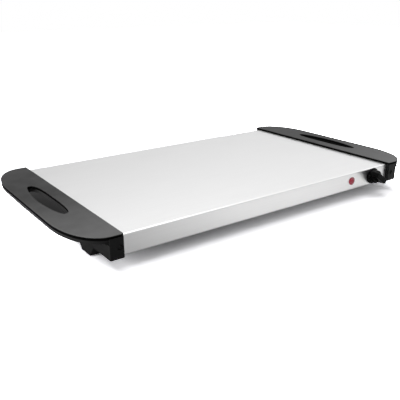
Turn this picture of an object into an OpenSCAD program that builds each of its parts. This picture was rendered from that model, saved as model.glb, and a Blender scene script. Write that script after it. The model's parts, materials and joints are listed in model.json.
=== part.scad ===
// Electric food warming tray: a flat steel hot plate between two black handled
// end caps on four legs, with a rotary thermostat and a pilot lamp in the front
// skirt.  Millimetres, +Z up, floor at Z = 0, front towards -Y, controls at +X.

/* [Hot plate] */
// Length of the steel top that shows between the two handles
plate_len = 600; // [540:5:680]
// Depth of the steel top from front skirt to back skirt
plate_depth = 390; // [350:5:430]
// Height of the steel skirts
skirt_h = 34; // [33:0.5:40]
// Thickness of the steel sheet
sheet_t = 0.8; // [0.6:0.1:1]
// Outside radius of the bends in the sheet
bend_r = 2.5; // [1.5:0.25:3]
// Width of the flanges turned in under the skirts
flange_w = 12; // [10:1:16]
// Length of sheet hidden under each handle
tuck = 14; // [11:1:15]
// Drop of the hidden ends of the sheet, so that a handle sits down on them
end_step = 0.4; // [0.2:0.1:0.5]

/* [End caps] */
// Width of the front face of an end cap
cap_w = 23; // [21:0.25:23.5]
// How far an end cap stands forward of the steel skirt
cap_proud = 7; // [6:0.5:10]
// Thickness of the moulded walls of an end cap
cap_wall = 2.5; // [2:0.25:3]
// Gap between a cap and the sheet that slides into it
slot_gap = 0.2; // [0.1:0.05:0.4]

/* [Handles] */
// Reach of a handle beyond the visible steel
handle_reach = 72; // [66:1:84]
// Height of a handle's top above the steel
cover_h = 4.5; // [4:0.25:6]
// Thickness of the top skin of a handle
cover_t = 2.5; // [2:0.25:3]
// Depth of the lower half of a handle
under_h = 6.5; // [3.5:0.25:8]
// Thickness of the skin below a handle
under_t = 2; // [1.5:0.25:2.5]
// Thickness of the rims round a handle
rim_t = 2.2; // [1.8:0.1:2.8]
// Step between the upper and lower halves at the seam
seam_step = 0.7; // [0.3:0.1:1]
// Sideways run of the curved handle corners
corner_run_u = 57; // [50:1:62]
// Lengthways run of the curved handle corners
corner_run_v = 107; // [80:1:110]
// Roundness of the handle corners: 2 is an ellipse, more is squarer
corner_power = 2.15; // [2:0.05:2.6]
// Radius of the gusset between a handle and its end cap
gusset_r = 6; // [4:0.5:7]

/* [Hand grips] */
// Length of the hand opening
grip_len = 163; // [130:1:180]
// Distance from the steel's end to the opening's line of tips
grip_u = 38; // [37.5:0.5:40]
// Reach of the opening from that line towards the steel
grip_in = 14.4; // [12:0.2:14.6]
// Reach of the opening from that line towards the rim
grip_out = 13.2; // [10:0.2:16]
// Thickness of the collar round the opening
grip_wall = 2; // [1.6:0.2:2.6]

/* [Legs] */
// Height of the legs with their pads
leg_h = 19; // [15:1:26]
// Length of a leg at the floor
leg_foot = 30; // [26:1:40]
// Slope of each end of a leg, measured along the floor
leg_slope = 14; // [8:1:18]
// Distance from the front of an end cap to the nearest leg's foot
leg_setback = 71; // [50:1:90]
// Thickness of the rubber pads
pad_t = 2; // [1.5:0.25:3]
// Margin between a pad and the edges of its leg
pad_margin = 2; // [1:0.25:3]
// Radius of the peg that holds a pad
peg_r = 2.5; // [2:0.1:3]

/* [Controls] */
// Drop of the knob and lamp centres below the steel top
control_drop = 16; // [16:0.25:17]
// Distance of the knob's axis from the right end of the steel
knob_inset = 43; // [36:1:60]
// Distance between the knob's axis and the lamp's
lamp_gap = 60.5; // [48:0.5:90]
// Diameter of the knob
knob_d = 31.5; // [28:0.5:31.5]
// Length of the knob along its axis
knob_len = 24; // [22:0.5:30]
// Length of the knob's round body, below the grip bar
knob_body = 13; // [12:0.5:15]
// Gap between the knob and the steel
knob_gap = 1; // [0.6:0.1:2]
// Thickness of the knob's grip bar at its root
bar_w = 11; // [8:0.25:12]
// Reach of the grip bar from the knob's axis
bar_reach = 18; // [14:0.5:19]
// Turn of the grip bar from upright, anticlockwise seen from the front
bar_angle = 75; // [0:5:90]
// Radius of the thermostat shaft
shaft_r = 3; // [2.8:0.05:3.2]
// Radial clearance of the shaft in its bushing
shaft_gap = 0.05; // [0.03:0.01:0.08]
// Radius of the thermostat's threaded bushing
bushing_r = 5; // [4.8:0.1:5.4]
// Diameter of the lamp's lens
lens_d = 15.4; // [14:0.2:18]
// Height of the lens's dome
lens_dome = 3.2; // [2.5:0.1:4.5]
// Radius of the lamp's barrel
barrel_r = 5.6; // [5:0.1:6]

/* [Heater] */
// Margin between the heated area and the visible steel
heat_margin = 20; // [16:1:30]
// Thickness of the aluminium heat spreader
spreader_t = 1; // [0.8:0.1:1.2]
// Radius of the sleeved heating cable
cable_r = 1.5; // [1.2:0.1:1.6]
// Number of runs of heating cable
cable_runs = 10; // [8:2:12]
// Distance from the edge of the spreader to the first run
cable_edge = 22; // [20:1:30]
// Distance from the spreader's ends to the cable's bends
cable_end = 8; // [6:1:20]
// Thickness of the foil behind the cable
foil_t = 0.4; // [0.3:0.1:0.6]
// Thickness of the insulating mat
mat_t = 8; // [6:0.5:9]
// Pitch of the bars that hold the mat
bar_pitch = 150; // [130:5:160]
// Middle bar's distance to the left of centre
bar_shift = 40; // [30:5:60]
// Width of a mat bar
mat_bar_w = 20; // [16:1:26]
// Thickness of a mat bar
mat_bar_t = 1; // [0.8:0.1:1.5]
// Radius of the welded studs
stud_r = 2; // [1.75:0.05:2.2]

/* [Base and wiring] */
// Thickness of the base plate
base_t = 0.6; // [0.5:0.1:0.8]
// Radius of the cord's bore in the gland
gland_bore = 3.6; // [3.2:0.1:4]
// Distance of the gland from the right end of the steel
gland_inset = 70; // [60:1:110]
// Radius of the inner leads
lead_r = 1.1; // [0.9:0.1:1.2]

/* [Hidden] */

// Small overlap that joins two shapes, length of a cut that goes right past, clearance of a close fit
eps = 0.01;
big = 200;
fit = 0.05;
$fn = 64;
corner_steps = 12;
grip_steps = 60;

STEEL = "silver";
DARK = "#2b2b2c";
BLACK = "#161616";
ZINC = "#9a9c9e";

// Heights
z_bot = leg_h;
z_top = z_bot + skirt_h;
z_handle = z_top + cover_h;
z_under = z_top - under_h;
z_control = z_top - control_drop;
z_flange = z_bot + sheet_t;

// Depths from the middle of the tray; mid_y puts the origin under the middle of the whole outline
half_depth = plate_depth / 2;
cap_half = half_depth + cap_proud;
knob_tip = half_depth + knob_gap + knob_len;
mid_y = (knob_tip - cap_half) / 2;

// Lengths
half_len = plate_len / 2;
top_edge_gap = 0.5;
knob_x = half_len - knob_inset;
lamp_x = knob_x - lamp_gap;
gland_x = half_len - gland_inset;

// Curved corner of the handle outline
corner_u = handle_reach - corner_run_u;
corner_v = cap_half - corner_run_v;
grip_in_power = 3.2;
grip_out_power = 1.65;

// Handle screws, as distance out from the steel and half spacing along the handle
handle_screw_places = [[60, 72], [30, 140]];
handle_screw_r = 1.5;
handle_head_r = 2.9;
handle_head_h = handle_head_r - handle_screw_r;
handle_boss_r = 3.6;

// Screws through the front and back of each cap into the skirts
cap_screw_u = 6.5;
cap_screw_r = 1.75;
cap_screw_head_r = 3.7;
cap_screw_head_h = 2.4;
cap_recess_r = 4.3;
cap_recess_depth = 3.5;
cap_screw_len = 10;

// Legs
leg_front = cap_half - leg_setback;
leg_back = leg_front - leg_foot;
leg_skin = 2;
peg_gap = 0.05;
peg_head_r = peg_r + 0.7;
peg_head_h = 1;

// Heater stack, from the steel downwards
z_sheet_in = z_top - sheet_t;
z_spreader = z_sheet_in - spreader_t;
z_cable = z_spreader - cable_r - fit;
z_foil = z_cable - cable_r - fit - foil_t;
z_mat = z_foil - mat_t;
z_bars = z_mat - mat_bar_t;
heat_len = plate_len - 2 * heat_margin;
heat_depth = plate_depth - 2 * heat_margin;
run_pitch = (heat_depth - 2 * cable_edge) / (cable_runs - 1);
run_len = heat_len - 2 * cable_end - run_pitch - 2 * cable_r;
stud_y = run_pitch * (cable_runs / 2 - 1);
nut_h = 3.2;
nut_af = 7;
stud_len = z_sheet_in - z_bars + nut_h + 1.5;
mat_notch_x = lamp_x - 30;
mat_notch_y = 62;

// Base plate
base_gap = 0.4;
base_half_depth = half_depth - bend_r - base_gap;
base_screw_y = half_depth - flange_w / 2 - 1;
base_screw_count = 4;
base_screw_end = 40;
base_screw_r = 1.45;
base_head_r = 2.8;
base_head_h = 1.6;
base_screw_len = 7;
vent_count = 9;
vent_pitch = 9;
vent_w = 3;
vent_len = 46;
vent_x = half_len - 150;
vent_y = 60;
z_base = z_flange + base_t;

// Thermostat, measured inwards from the outer face of the front skirt
bushing_out = 4.4;
bushing_flange_r = 7;
bushing_flange_t = 1.8;
bushing_tail = 2.2;
bushing_tail_r = 4.2;
washer_t = 0.5;
thermostat_nut_h = 2.4;
thermostat_nut_af = 14;
bracket_t = 1.2;
bracket_w = 24;
bracket_h = 17;
body_w = 20;
body_h = 15;
body_len = 28;
collar_r = 4.2;
collar_t = 1.6;
collar_room = 3;
collar_gap = 0.3;
shaft_reach = 12;
shaft_flat = 1.5;
blade_w = 8;
blade_t = 0.8;
socket_depth = 9;
clip_t = 0.7;
clip_rim = 1.6;
clip_bite = 0.4;
clip_mouth = 2.4;
clip_z = -bushing_out - 0.1 - clip_t;
terminal_gap = 6.8;
terminal_len = 9;
tab_w = 4.8;
tab_t = 0.8;
w_bracket = sheet_t + bushing_flange_t;
w_body = w_bracket + bracket_t;

// Knob
knob_skirt = 3;
knob_r = knob_d / 2;
knob_neck_r = knob_r - 2;
knob_face_r = knob_r - 3;
bar_root = knob_body - 4;
knob_room_r = 9.6;
knob_room = 6.2;
spring_t = 0.5;
spring_w = 3;
shaft_tip = -knob_gap - knob_room - socket_depth;

// Pilot lamp
lens_flange_t = 1;
lens_wall = 1.3;
lens_rim = 0.6;
// Sphere that caps the lens: its chord is the lens inside its rim, its height the dome
dome_r = (pow(lens_d / 2 - lens_rim, 2) + pow(lens_dome, 2)) / (2 * lens_dome);
barrel_len = 20;
barrel_wall = 0.9;
lamp_tab_gap = 6;
lamp_tab_w = 2.8;
lamp_tab_len = 7;
bulb_r = 2.6;
lamp_nut_r = 8;
lamp_nut_h = 4;

// Gland
gland_flange_r = 10;
gland_flange_t = 3;
gland_body_r = 6.2;
gland_len = 11;
gland_nut_r = 9;
gland_nut_h = 3.5;

// Terminal block and cut-out
block_x = half_len - 118;
block_y = half_depth - 78;
block_size = [34, 18, 14];
block_ways = 3;
block_pitch = 10;
block_bore_z = 5;
block_bore_depth = 6;
cord_wire_r = 2;
terminal_screw_r = 2;
terminal_screw_len = 5;
cutout_x = half_len - 104;
cutout_y = 46 - half_depth;
cutout_r = 2.6;
cutout_len = 26;
clip_w = 8;
clip_skin = 0.7;
clip_tab = 8;
earth_x = half_len - 180;
earth_y = half_depth - 70;
lug_len = 14;
lug_t = 0.8;
earth_stud_len = 8;

module in_tray() translate([0, mid_y, 0]) children();

// Draws its child, modelled at the right end, at the right (1) or left (-1) end
module at_end(side)
    in_tray()
        if (side > 0) translate([half_len, 0, 0]) children();
        else mirror([1, 0, 0]) translate([half_len, 0, 0]) children();

module at_thermostat() translate([knob_x, mid_y - half_depth, z_control]) rotate([-90, 0, 0]) children();
module at_lamp() translate([lamp_x, mid_y - half_depth, z_control]) rotate([-90, 0, 0]) children();
module at_gland() translate([gland_x, mid_y + half_depth, z_control]) rotate([-90, 0, 0]) children();

module ring(r_out, r_in, h)
    difference() {
        cylinder(h = h, r = r_out);
        translate([0, 0, -1]) cylinder(h = h + 2, r = r_in);
    }

module hex_nut(af, r_in, h)
    difference() {
        cylinder(h = h, r = af / sqrt(3), $fn = 6);
        translate([0, 0, -1]) cylinder(h = h + 2, r = r_in);
    }

// Pan-head screw whose head stands on Z = 0 and whose shank runs down
module pan_screw(head_r, head_h, shank_r, shank_len) {
    difference() {
        union() {
            cylinder(h = head_h * 0.55, r = head_r);
            translate([0, 0, head_h * 0.55])
                cylinder(h = head_h * 0.45, r1 = head_r, r2 = head_r * 0.72);
        }
        for (turn = [0, 90])
            rotate([0, 0, turn])
                translate([-head_r * 0.55, -head_r * 0.11, head_h * 0.45])
                    cube([head_r * 1.1, head_r * 0.22, head_h]);
    }
    translate([0, 0, -shank_len]) cylinder(h = shank_len, r = shank_r);
}

module rounded_box_2d(w, h, r)
    union() {
        translate([-w / 2, r]) square([w, h - 2 * r]);
        translate([-w / 2 + r, 0]) square([w - 2 * r, h]);
        for (x = [-w / 2 + r, w / 2 - r], y = [r, h - r]) translate([x, y]) circle(r = r);
    }

// Outline points of the handle: a straight front edge, a rounded corner, a straight rim
function corner_points(inset) = [
    for (i = [0:corner_steps])
        let (t = 90 * i / corner_steps)
            [
                corner_u + (corner_run_u - inset) * pow(sin(t), 2 / corner_power),
                -corner_v - (corner_run_v - inset) * pow(cos(t), 2 / corner_power)
            ]
];
function mirrored(points) = [for (i = [len(points) - 1:-1:0]) [points[i][0], -points[i][1]]];
function handle_points(inset) =
    let (corner = corner_points(inset))
        concat([[0, inset - cap_half]], corner, mirrored(corner), [[0, cap_half - inset]]);
module handle_outline(inset = 0, start = 0)
    intersection() {
        polygon(handle_points(inset));
        translate([start, -big * 2]) square([big, big * 4]);
    }

// Outline points of the hand opening: two superellipse halves, the inner one squarer
function signed_pow(x, p) = sign(x) * pow(abs(x), p);
function grip_points(grow) = [
    for (i = [0:grip_steps - 1])
        let (t = 360 * i / grip_steps, outer = cos(t) >= 0, p = 2 / (outer ? grip_out_power : grip_in_power))
            [
                grip_u + (outer ? grip_out : grip_in) * signed_pow(cos(t), p) + grow * cos(t),
                grip_len / 2 * signed_pow(sin(t), p) + grow * sin(t)
            ]
];
module grip_outline(grow = 0) polygon(grip_points(grow));

module at_handle_screws()
    for (place = handle_screw_places, s = [-1, 1])
        translate([place[0], s * place[1], 0]) children();

// ---------------------------------------------------------------- steel body

module sheet_profile(drop)
    difference() {
        rounded_box_2d(plate_depth, skirt_h - drop, bend_r);
        translate([0, sheet_t])
            rounded_box_2d(plate_depth - 2 * sheet_t, skirt_h - drop - 2 * sheet_t, bend_r - sheet_t);
        translate([flange_w - half_depth, -1]) square([plate_depth - 2 * flange_w, sheet_t + 2]);
    }

module along_x(length) rotate([90, 0, 90]) linear_extrude(length) children();

module at_studs()
    for (i = [-1:1], s = [-1, 1])
        translate([i * bar_pitch - bar_shift, s * stud_y, 0]) children();

module at_base_screws()
    for (i = [0:base_screw_count - 1], s = [-1, 1])
        translate([
            (half_len - base_screw_end) * (2 * i / (base_screw_count - 1) - 1),
            s * base_screw_y,
            0
        ])
            children();

module top_shell()
    color(STEEL)
        difference() {
            union() {
                in_tray() translate([top_edge_gap - half_len, 0, z_bot])
                    along_x(plate_len - 2 * top_edge_gap) sheet_profile(0);
                for (side = [-1, 1])
                    at_end(side) translate([-top_edge_gap, 0, z_bot])
                        along_x(tuck + top_edge_gap) sheet_profile(end_step);
                in_tray() at_studs() translate([0, 0, z_sheet_in - stud_len])
                    cylinder(h = stud_len + sheet_t / 2, r = stud_r);
            }
            at_thermostat() translate([0, 0, -1]) cylinder(h = 4, r = bushing_r + fit);
            at_lamp() translate([0, 0, -1]) cylinder(h = 4, r = barrel_r + fit);
            at_gland() translate([0, 0, -3]) cylinder(h = 4, r = gland_body_r + fit);
            for (side = [-1, 1])
                at_end(side) translate([cap_screw_u, 0, z_control]) rotate([90, 0, 0])
                    translate([0, 0, -big * 2]) cylinder(h = big * 4, r = cap_screw_r + fit);
            in_tray() at_base_screws() translate([0, 0, z_bot - 1])
                cylinder(h = sheet_t + 2, r = base_screw_r + fit);
        }

module vents()
    for (i = [0:vent_count - 1], s = [-1, 1])
        translate([vent_x + (i - (vent_count - 1) / 2) * vent_pitch, s * vent_y, 0])
            union() {
                translate([-vent_w / 2, (vent_w - vent_len) / 2, -1]) cube([vent_w, vent_len - vent_w, 4]);
                for (e = [-1, 1])
                    translate([0, e * (vent_len - vent_w) / 2, -1]) cylinder(h = 4, r = vent_w / 2, $fn = 24);
            }

module base_plate()
    color(ZINC)
        in_tray()
            difference() {
                translate([-half_len - tuck, -base_half_depth, z_flange])
                    cube([plate_len + 2 * tuck, 2 * base_half_depth, base_t]);
                translate([0, 0, z_flange]) vents();
                at_base_screws() translate([0, 0, z_flange - 1])
                    cylinder(h = base_t + 2, r = base_screw_r + fit);
            }

module base_screws()
    color(ZINC)
        in_tray() at_base_screws() translate([0, 0, z_bot]) mirror([0, 0, 1])
            pan_screw(base_head_r, base_head_h, base_screw_r, base_screw_len);

// ------------------------------------------------------------------ end caps

// Side view of a leg, shrunk by a margin for its hollow
module leg_side(margin, lift)
    polygon([
        [leg_back + margin, lift],
        [leg_front - margin, lift],
        [leg_front + leg_slope - margin, leg_h - (margin > 0 ? leg_skin : 0)],
        [leg_back - leg_slope + margin, leg_h - (margin > 0 ? leg_skin : 0)]
    ]);

module leg()
    difference() {
        along_x(cap_w) leg_side(0, pad_t);
        translate([-1, 0, 0]) along_x(cap_w - cap_wall + 1) leg_side(cap_wall, pad_t + leg_skin);
        translate([cap_w / 2, leg_front - leg_foot / 2, 0])
            cylinder(h = pad_t + leg_skin + 1, r = peg_r + peg_gap);
    }

// Concave gusset between the cap's front wall and the handle above it
module gusset()
    translate([cap_w, seam_step - cap_half, z_under])
        difference() {
            translate([-cap_wall / 2, 0, -gusset_r])
                cube([gusset_r + cap_wall / 2, cap_proud - seam_step, gusset_r + under_t / 2]);
            translate([gusset_r, -1, -gusset_r])
                rotate([-90, 0, 0]) cylinder(h = cap_proud + 2, r = gusset_r);
        }

module cap_screw_hole()
    translate([cap_screw_u, -cap_half, z_control]) rotate([-90, 0, 0]) {
        translate([0, 0, -1]) cylinder(h = cap_proud + 2, r = cap_screw_r + 0.35);
        translate([0, 0, -1]) cylinder(h = cap_recess_depth + 1, r = cap_recess_r);
    }

// Lower half of the handle: a shallow tray with a rim and a collar round the opening
module under_tray()
    difference() {
        translate([0, 0, z_under]) linear_extrude(under_h) handle_outline(seam_step, cap_w - cap_wall / 2);
        translate([0, 0, z_under + under_t]) linear_extrude(under_h)
            difference() {
                handle_outline(seam_step + rim_t, cap_w);
                grip_outline(grip_wall);
            }
    }

// The walls that the end of the sheet slides into, and the ledge behind it
module channel()
    difference() {
        translate([0, -cap_half, z_bot]) cube([cap_w, 2 * cap_half, skirt_h]);
        translate([-1, -half_depth - slot_gap, z_bot - 1])
            cube([tuck + slot_gap + 1, plate_depth + 2 * slot_gap, skirt_h + 2]);
        translate([tuck, -half_depth - slot_gap, z_bot + cap_wall])
            cube([cap_w - cap_wall - tuck, plate_depth + 2 * slot_gap, skirt_h]);
    }

module end_cap()
    difference() {
        union() {
            under_tray();
            channel();
            for (s = [0, 1])
                mirror([0, s, 0]) {
                    gusset();
                    leg();
                }
        }
        translate([0, 0, z_under - 1]) linear_extrude(under_h + 2) grip_outline();
        for (s = [0, 1]) mirror([0, s, 0]) cap_screw_hole();
        at_handle_screws() translate([0, 0, z_under]) {
            translate([0, 0, -1]) cylinder(h = under_t + 2, r = handle_screw_r + 0.2);
            translate([0, 0, -fit])
                cylinder(h = handle_head_h + fit, r1 = handle_head_r + fit, r2 = handle_screw_r);
        }
    }

module left_end_cap() color(BLACK) at_end(-1) end_cap();
module right_end_cap() color(BLACK) at_end(1) end_cap();

module handle_cover()
    difference() {
        union() {
            difference() {
                translate([0, 0, z_top]) linear_extrude(cover_h) handle_outline();
                translate([0, 0, z_top - 1]) linear_extrude(cover_h - cover_t + 1)
                    difference() {
                        handle_outline(rim_t, rim_t);
                        grip_outline(grip_wall);
                    }
            }
            // Inner lip that reaches down to the stepped end of the sheet
            translate([0, bend_r - half_depth, z_top - end_step])
                cube([rim_t, plate_depth - 2 * bend_r, end_step + eps]);
            at_handle_screws() translate([0, 0, z_under + under_t])
                cylinder(h = z_handle - cover_t - z_under - under_t + eps, r = handle_boss_r);
        }
        translate([0, 0, z_top - 1]) linear_extrude(cover_h + 2) grip_outline();
        at_handle_screws() translate([0, 0, z_under])
            cylinder(h = z_handle - z_under - 1, r = handle_screw_r + fit);
    }

module left_handle_cover() color(DARK) at_end(-1) handle_cover();
module right_handle_cover() color(DARK) at_end(1) handle_cover();

module handle_screws()
    at_handle_screws() translate([0, 0, z_under]) {
        difference() {
            cylinder(h = handle_head_h, r1 = handle_head_r, r2 = handle_screw_r);
            for (turn = [0, 90])
                rotate([0, 0, turn]) translate([-1.6, -0.3, -1]) cube([3.2, 0.6, 1.8]);
        }
        translate([0, 0, handle_head_h - eps])
            cylinder(h = z_handle - z_under - 1.5 - handle_head_h, r = handle_screw_r);
    }

module left_handle_screws() color(ZINC) at_end(-1) handle_screws();
module right_handle_screws() color(ZINC) at_end(1) handle_screws();

module cap_screws()
    for (s = [0, 1])
        mirror([0, s, 0])
            translate([cap_screw_u, cap_recess_depth - cap_half, z_control])
                rotate([90, 0, 0])
                    pan_screw(cap_screw_head_r, cap_screw_head_h, cap_screw_r, cap_screw_len);

module left_cap_screws() color(ZINC) at_end(-1) cap_screws();
module right_cap_screws() color(ZINC) at_end(1) cap_screws();

module foot_pad()
    translate([cap_w / 2, leg_front - leg_foot / 2, 0]) {
        translate([pad_margin - cap_w / 2, pad_margin - leg_foot / 2, 0])
            cube([cap_w - 2 * pad_margin, leg_foot - 2 * pad_margin, pad_t]);
        cylinder(h = pad_t + leg_skin + eps, r = peg_r);
        translate([0, 0, pad_t + leg_skin])
            cylinder(h = peg_head_h, r1 = peg_head_r, r2 = peg_r - 0.5);
    }

module foot_front_left() color(BLACK) at_end(-1) mirror([0, 1, 0]) foot_pad();
module foot_front_right() color(BLACK) at_end(1) mirror([0, 1, 0]) foot_pad();
module foot_back_left() color(BLACK) at_end(-1) foot_pad();
module foot_back_right() color(BLACK) at_end(1) foot_pad();

// -------------------------------------------------------------------- heater

module stud_holes(h)
    at_studs() translate([0, 0, -1]) cylinder(h = h + 2, r = stud_r + 0.3, $fn = 32);

module heat_sheet(thickness)
    difference() {
        translate([-heat_len / 2, -heat_depth / 2, 0]) cube([heat_len, heat_depth, thickness]);
        stud_holes(thickness);
    }

module heat_spreader() color("lightgray") in_tray() translate([0, 0, z_spreader]) heat_sheet(spreader_t);
module backing_foil() color("lightgray") in_tray() translate([0, 0, z_foil]) heat_sheet(foil_t);

module cable_bend()
    rotate_extrude(angle = 180) translate([run_pitch / 2, 0]) circle(r = cable_r, $fn = 24);

module heating_cable()
    color("firebrick")
        in_tray() translate([0, 0, z_cable]) {
            for (i = [0:cable_runs - 1])
                translate([-run_len / 2, (i - (cable_runs - 1) / 2) * run_pitch, 0])
                    rotate([0, 90, 0]) cylinder(h = run_len, r = cable_r, $fn = 24);
            for (i = [0:cable_runs - 2])
                translate([(i % 2 == 0 ? -1 : 1) * run_len / 2, (i - (cable_runs - 2) / 2) * run_pitch, 0])
                    rotate([0, 0, i % 2 == 0 ? 90 : -90]) cable_bend();
        }

module insulation_mat()
    color("ivory")
        in_tray() translate([0, 0, z_mat])
            difference() {
                heat_sheet(mat_t);
                translate([mat_notch_x, -half_depth, -1]) cube([half_len, mat_notch_y, mat_t + 2]);
            }

module mat_bars()
    color(ZINC)
        in_tray() translate([0, 0, z_bars])
            difference() {
                for (i = [-1:1])
                    translate([i * bar_pitch - bar_shift - mat_bar_w / 2, -stud_y - mat_bar_w / 2, 0])
                        cube([mat_bar_w, 2 * stud_y + mat_bar_w, mat_bar_t]);
                stud_holes(mat_bar_t);
            }

module bar_nuts()
    color(ZINC) in_tray() at_studs() translate([0, 0, z_bars - nut_h]) hex_nut(nut_af, stud_r + fit, nut_h);

// ---------------------------------------------------------------- thermostat

module thermostat_bushing()
    color("goldenrod")
        at_thermostat()
            difference() {
                union() {
                    translate([0, 0, -bushing_out]) cylinder(h = bushing_out + sheet_t, r = bushing_r);
                    translate([0, 0, sheet_t]) cylinder(h = bushing_flange_t, r = bushing_flange_r);
                    translate([0, 0, w_bracket]) cylinder(h = bushing_tail, r = bushing_tail_r);
                }
                translate([0, 0, -bushing_out - 1]) cylinder(h = big / 2, r = shaft_r + shaft_gap);
            }

module thermostat_washer()
    color(ZINC) at_thermostat() translate([0, 0, -washer_t]) ring(9, bushing_r + fit, washer_t);

module thermostat_nut()
    color(ZINC)
        at_thermostat() translate([0, 0, -washer_t - thermostat_nut_h])
            hex_nut(thermostat_nut_af, bushing_r + fit, thermostat_nut_h);

module thermostat_bracket()
    color(ZINC)
        at_thermostat()
            difference() {
                translate([-bracket_w / 2, -bracket_h / 2, w_bracket])
                    cube([bracket_w, bracket_h, bracket_t]);
                translate([0, 0, w_bracket - 1]) cylinder(h = bracket_t + 2, r = bushing_tail_r + fit);
            }

module thermostat_body()
    color("whitesmoke")
        at_thermostat()
            difference() {
                translate([-body_w / 2, -body_h / 2, w_body]) cube([body_w, body_h, body_len]);
                translate([0, 0, w_body - 1])
                    cylinder(h = 1 + bushing_tail - bracket_t + collar_room, r = collar_r + 2 * collar_gap);
                translate([0, 0, w_body]) cylinder(h = shaft_reach + 1, r = shaft_r + shaft_gap);
            }

module thermostat_blade(length, height)
    translate([-blade_w / 2, height, w_body + body_len - length]) cube([blade_w, blade_t, length]);

module bimetal_blade() color("goldenrod") at_thermostat() thermostat_blade(body_len, -body_h / 2 - blade_t);
module contact_blade() color("orange") at_thermostat() thermostat_blade(body_len * 0.7, body_h / 2);

module thermostat_terminals()
    color("orange")
        at_thermostat()
            for (s = [-1:1])
                translate([s * terminal_gap - tab_w / 2, -tab_t / 2, w_body + body_len])
                    cube([tab_w, tab_t, terminal_len]);

module thermostat_shaft()
    color(ZINC)
        at_thermostat()
            difference() {
                union() {
                    translate([0, 0, shaft_tip]) cylinder(h = w_body + shaft_reach - shaft_tip, r = shaft_r);
                    translate([0, 0, w_bracket + bushing_tail + collar_gap])
                        cylinder(h = collar_t, r = collar_r);
                }
                // Flat for the knob
                translate([-shaft_r, shaft_flat, shaft_tip - 1])
                    cube([2 * shaft_r, shaft_r, socket_depth + 1]);
                // Groove for the clip
                translate([0, 0, clip_z - fit]) ring(shaft_r + 1, shaft_r - clip_bite, clip_t + 2 * fit);
            }

module shaft_clip()
    color(ZINC)
        at_thermostat() translate([0, 0, clip_z])
            difference() {
                ring(shaft_r + clip_rim, shaft_r - clip_bite + fit, clip_t);
                translate([-clip_mouth / 2, 0, -1]) cube([clip_mouth, big, clip_t + 2]);
            }

// Grip bar of the knob, standing on its round body and thinner towards the tip
module grip_bar()
    intersection() {
        translate([0, 0, bar_root]) cylinder(h = knob_len - bar_root, r = bar_reach);
        rotate([90, 0, 0]) translate([0, 0, -bar_reach]) linear_extrude(2 * bar_reach)
            polygon([
                [-bar_w / 2, bar_root],
                [bar_w / 2, bar_root],
                [bar_w / 2 - 1.2, knob_len],
                [1.2 - bar_w / 2, knob_len]
            ]);
    }

module knob()
    color(BLACK)
        at_thermostat() mirror([0, 0, 1]) translate([0, 0, knob_gap])
            difference() {
                union() {
                    rotate_extrude()
                        polygon([
                            [0, 0],
                            [knob_r, 0],
                            [knob_r, knob_skirt],
                            [knob_neck_r, knob_skirt + 1.5],
                            [knob_face_r, knob_body - 1],
                            [knob_face_r - 1.5, knob_body],
                            [0, knob_body]
                        ]);
                    rotate([0, 0, -bar_angle]) grip_bar();
                }
                translate([0, 0, -1]) cylinder(h = knob_room + 1, r = knob_room_r);
                difference() {
                    cylinder(h = knob_room + socket_depth + 0.5, r = shaft_r + fit);
                    translate([-big / 2, shaft_flat + fit + spring_t + fit, 0]) cube([big, big, big / 2]);
                }
            }

module knob_spring()
    color(ZINC)
        at_thermostat()
            translate([-spring_w / 2, shaft_flat + fit, shaft_tip])
                cube([spring_w, spring_t, socket_depth - 0.5]);

// ---------------------------------------------------------------- pilot lamp

module lamp_lens()
    color("crimson")
        at_lamp() mirror([0, 0, 1])
            difference() {
                union() {
                    cylinder(h = lens_flange_t, r = lens_d / 2);
                    translate([0, 0, lens_flange_t - eps]) intersection() {
                        cylinder(h = lens_dome, r = lens_d / 2);
                        translate([0, 0, lens_dome - dome_r]) sphere(r = dome_r);
                    }
                }
                translate([0, 0, -1])
                    cylinder(h = 1 + lens_flange_t + lens_dome - lens_wall, r = barrel_r - barrel_wall);
            }

module lamp_barrel()
    color(BLACK) at_lamp() difference() {
        cylinder(h = barrel_len, r = barrel_r);
        translate([0, 0, -1]) cylinder(h = barrel_len - 1, r = barrel_r - barrel_wall);
    }

module lamp_nut()
    color(ZINC) at_lamp() translate([0, 0, sheet_t]) ring(lamp_nut_r, barrel_r + fit, lamp_nut_h);

module lamp_bulb()
    color("orange")
        at_lamp() {
            cylinder(h = barrel_len - 2, r = bulb_r);
            sphere(r = bulb_r);
        }

module lamp_tabs()
    color("orange")
        at_lamp()
            for (s = [-1, 1])
                translate([s * lamp_tab_gap / 2 - lamp_tab_w / 2, -tab_t / 2, barrel_len])
                    cube([lamp_tab_w, tab_t, lamp_tab_len]);

// -------------------------------------------------------------------- wiring

module terminal_place() translate([block_x, mid_y + block_y, z_base]) children();

module at_ways()
    for (way = [0:block_ways - 1]) translate([(way - (block_ways - 1) / 2) * block_pitch, 0, 0]) children();

// The cord's bores are in the back of the block, and those of the four inner leads in its front
module terminal_block()
    color("ivory")
        terminal_place()
            difference() {
                translate([-block_size[0] / 2, -block_size[1] / 2, 0]) cube(block_size);
                at_ways() {
                    translate([0, 0, block_size[2] - terminal_screw_len - 1])
                        cylinder(h = block_size[2], r = terminal_screw_r + fit, $fn = 32);
                    translate([0, block_size[1] / 2 + 1, block_bore_z])
                        rotate([90, 0, 0]) cylinder(h = block_bore_depth + 1, r = cord_wire_r, $fn = 32);
                }
                for (i = [0, 1, 2, 4])
                    translate([
                        (i - block_ways + 1) / 2 * block_pitch,
                        block_bore_depth - block_size[1] / 2,
                        block_bore_z
                    ])
                        rotate([90, 0, 0]) cylinder(h = block_bore_depth + 1, r = lead_r + fit, $fn = 32);
            }

module terminal_screws()
    color(ZINC)
        terminal_place() at_ways() translate([0, 0, block_size[2] - terminal_screw_len - 1])
            cylinder(h = terminal_screw_len, r = terminal_screw_r, $fn = 32);

module cutout_place() translate([cutout_x, mid_y + cutout_y, z_foil - cutout_r - fit]) children();

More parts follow.
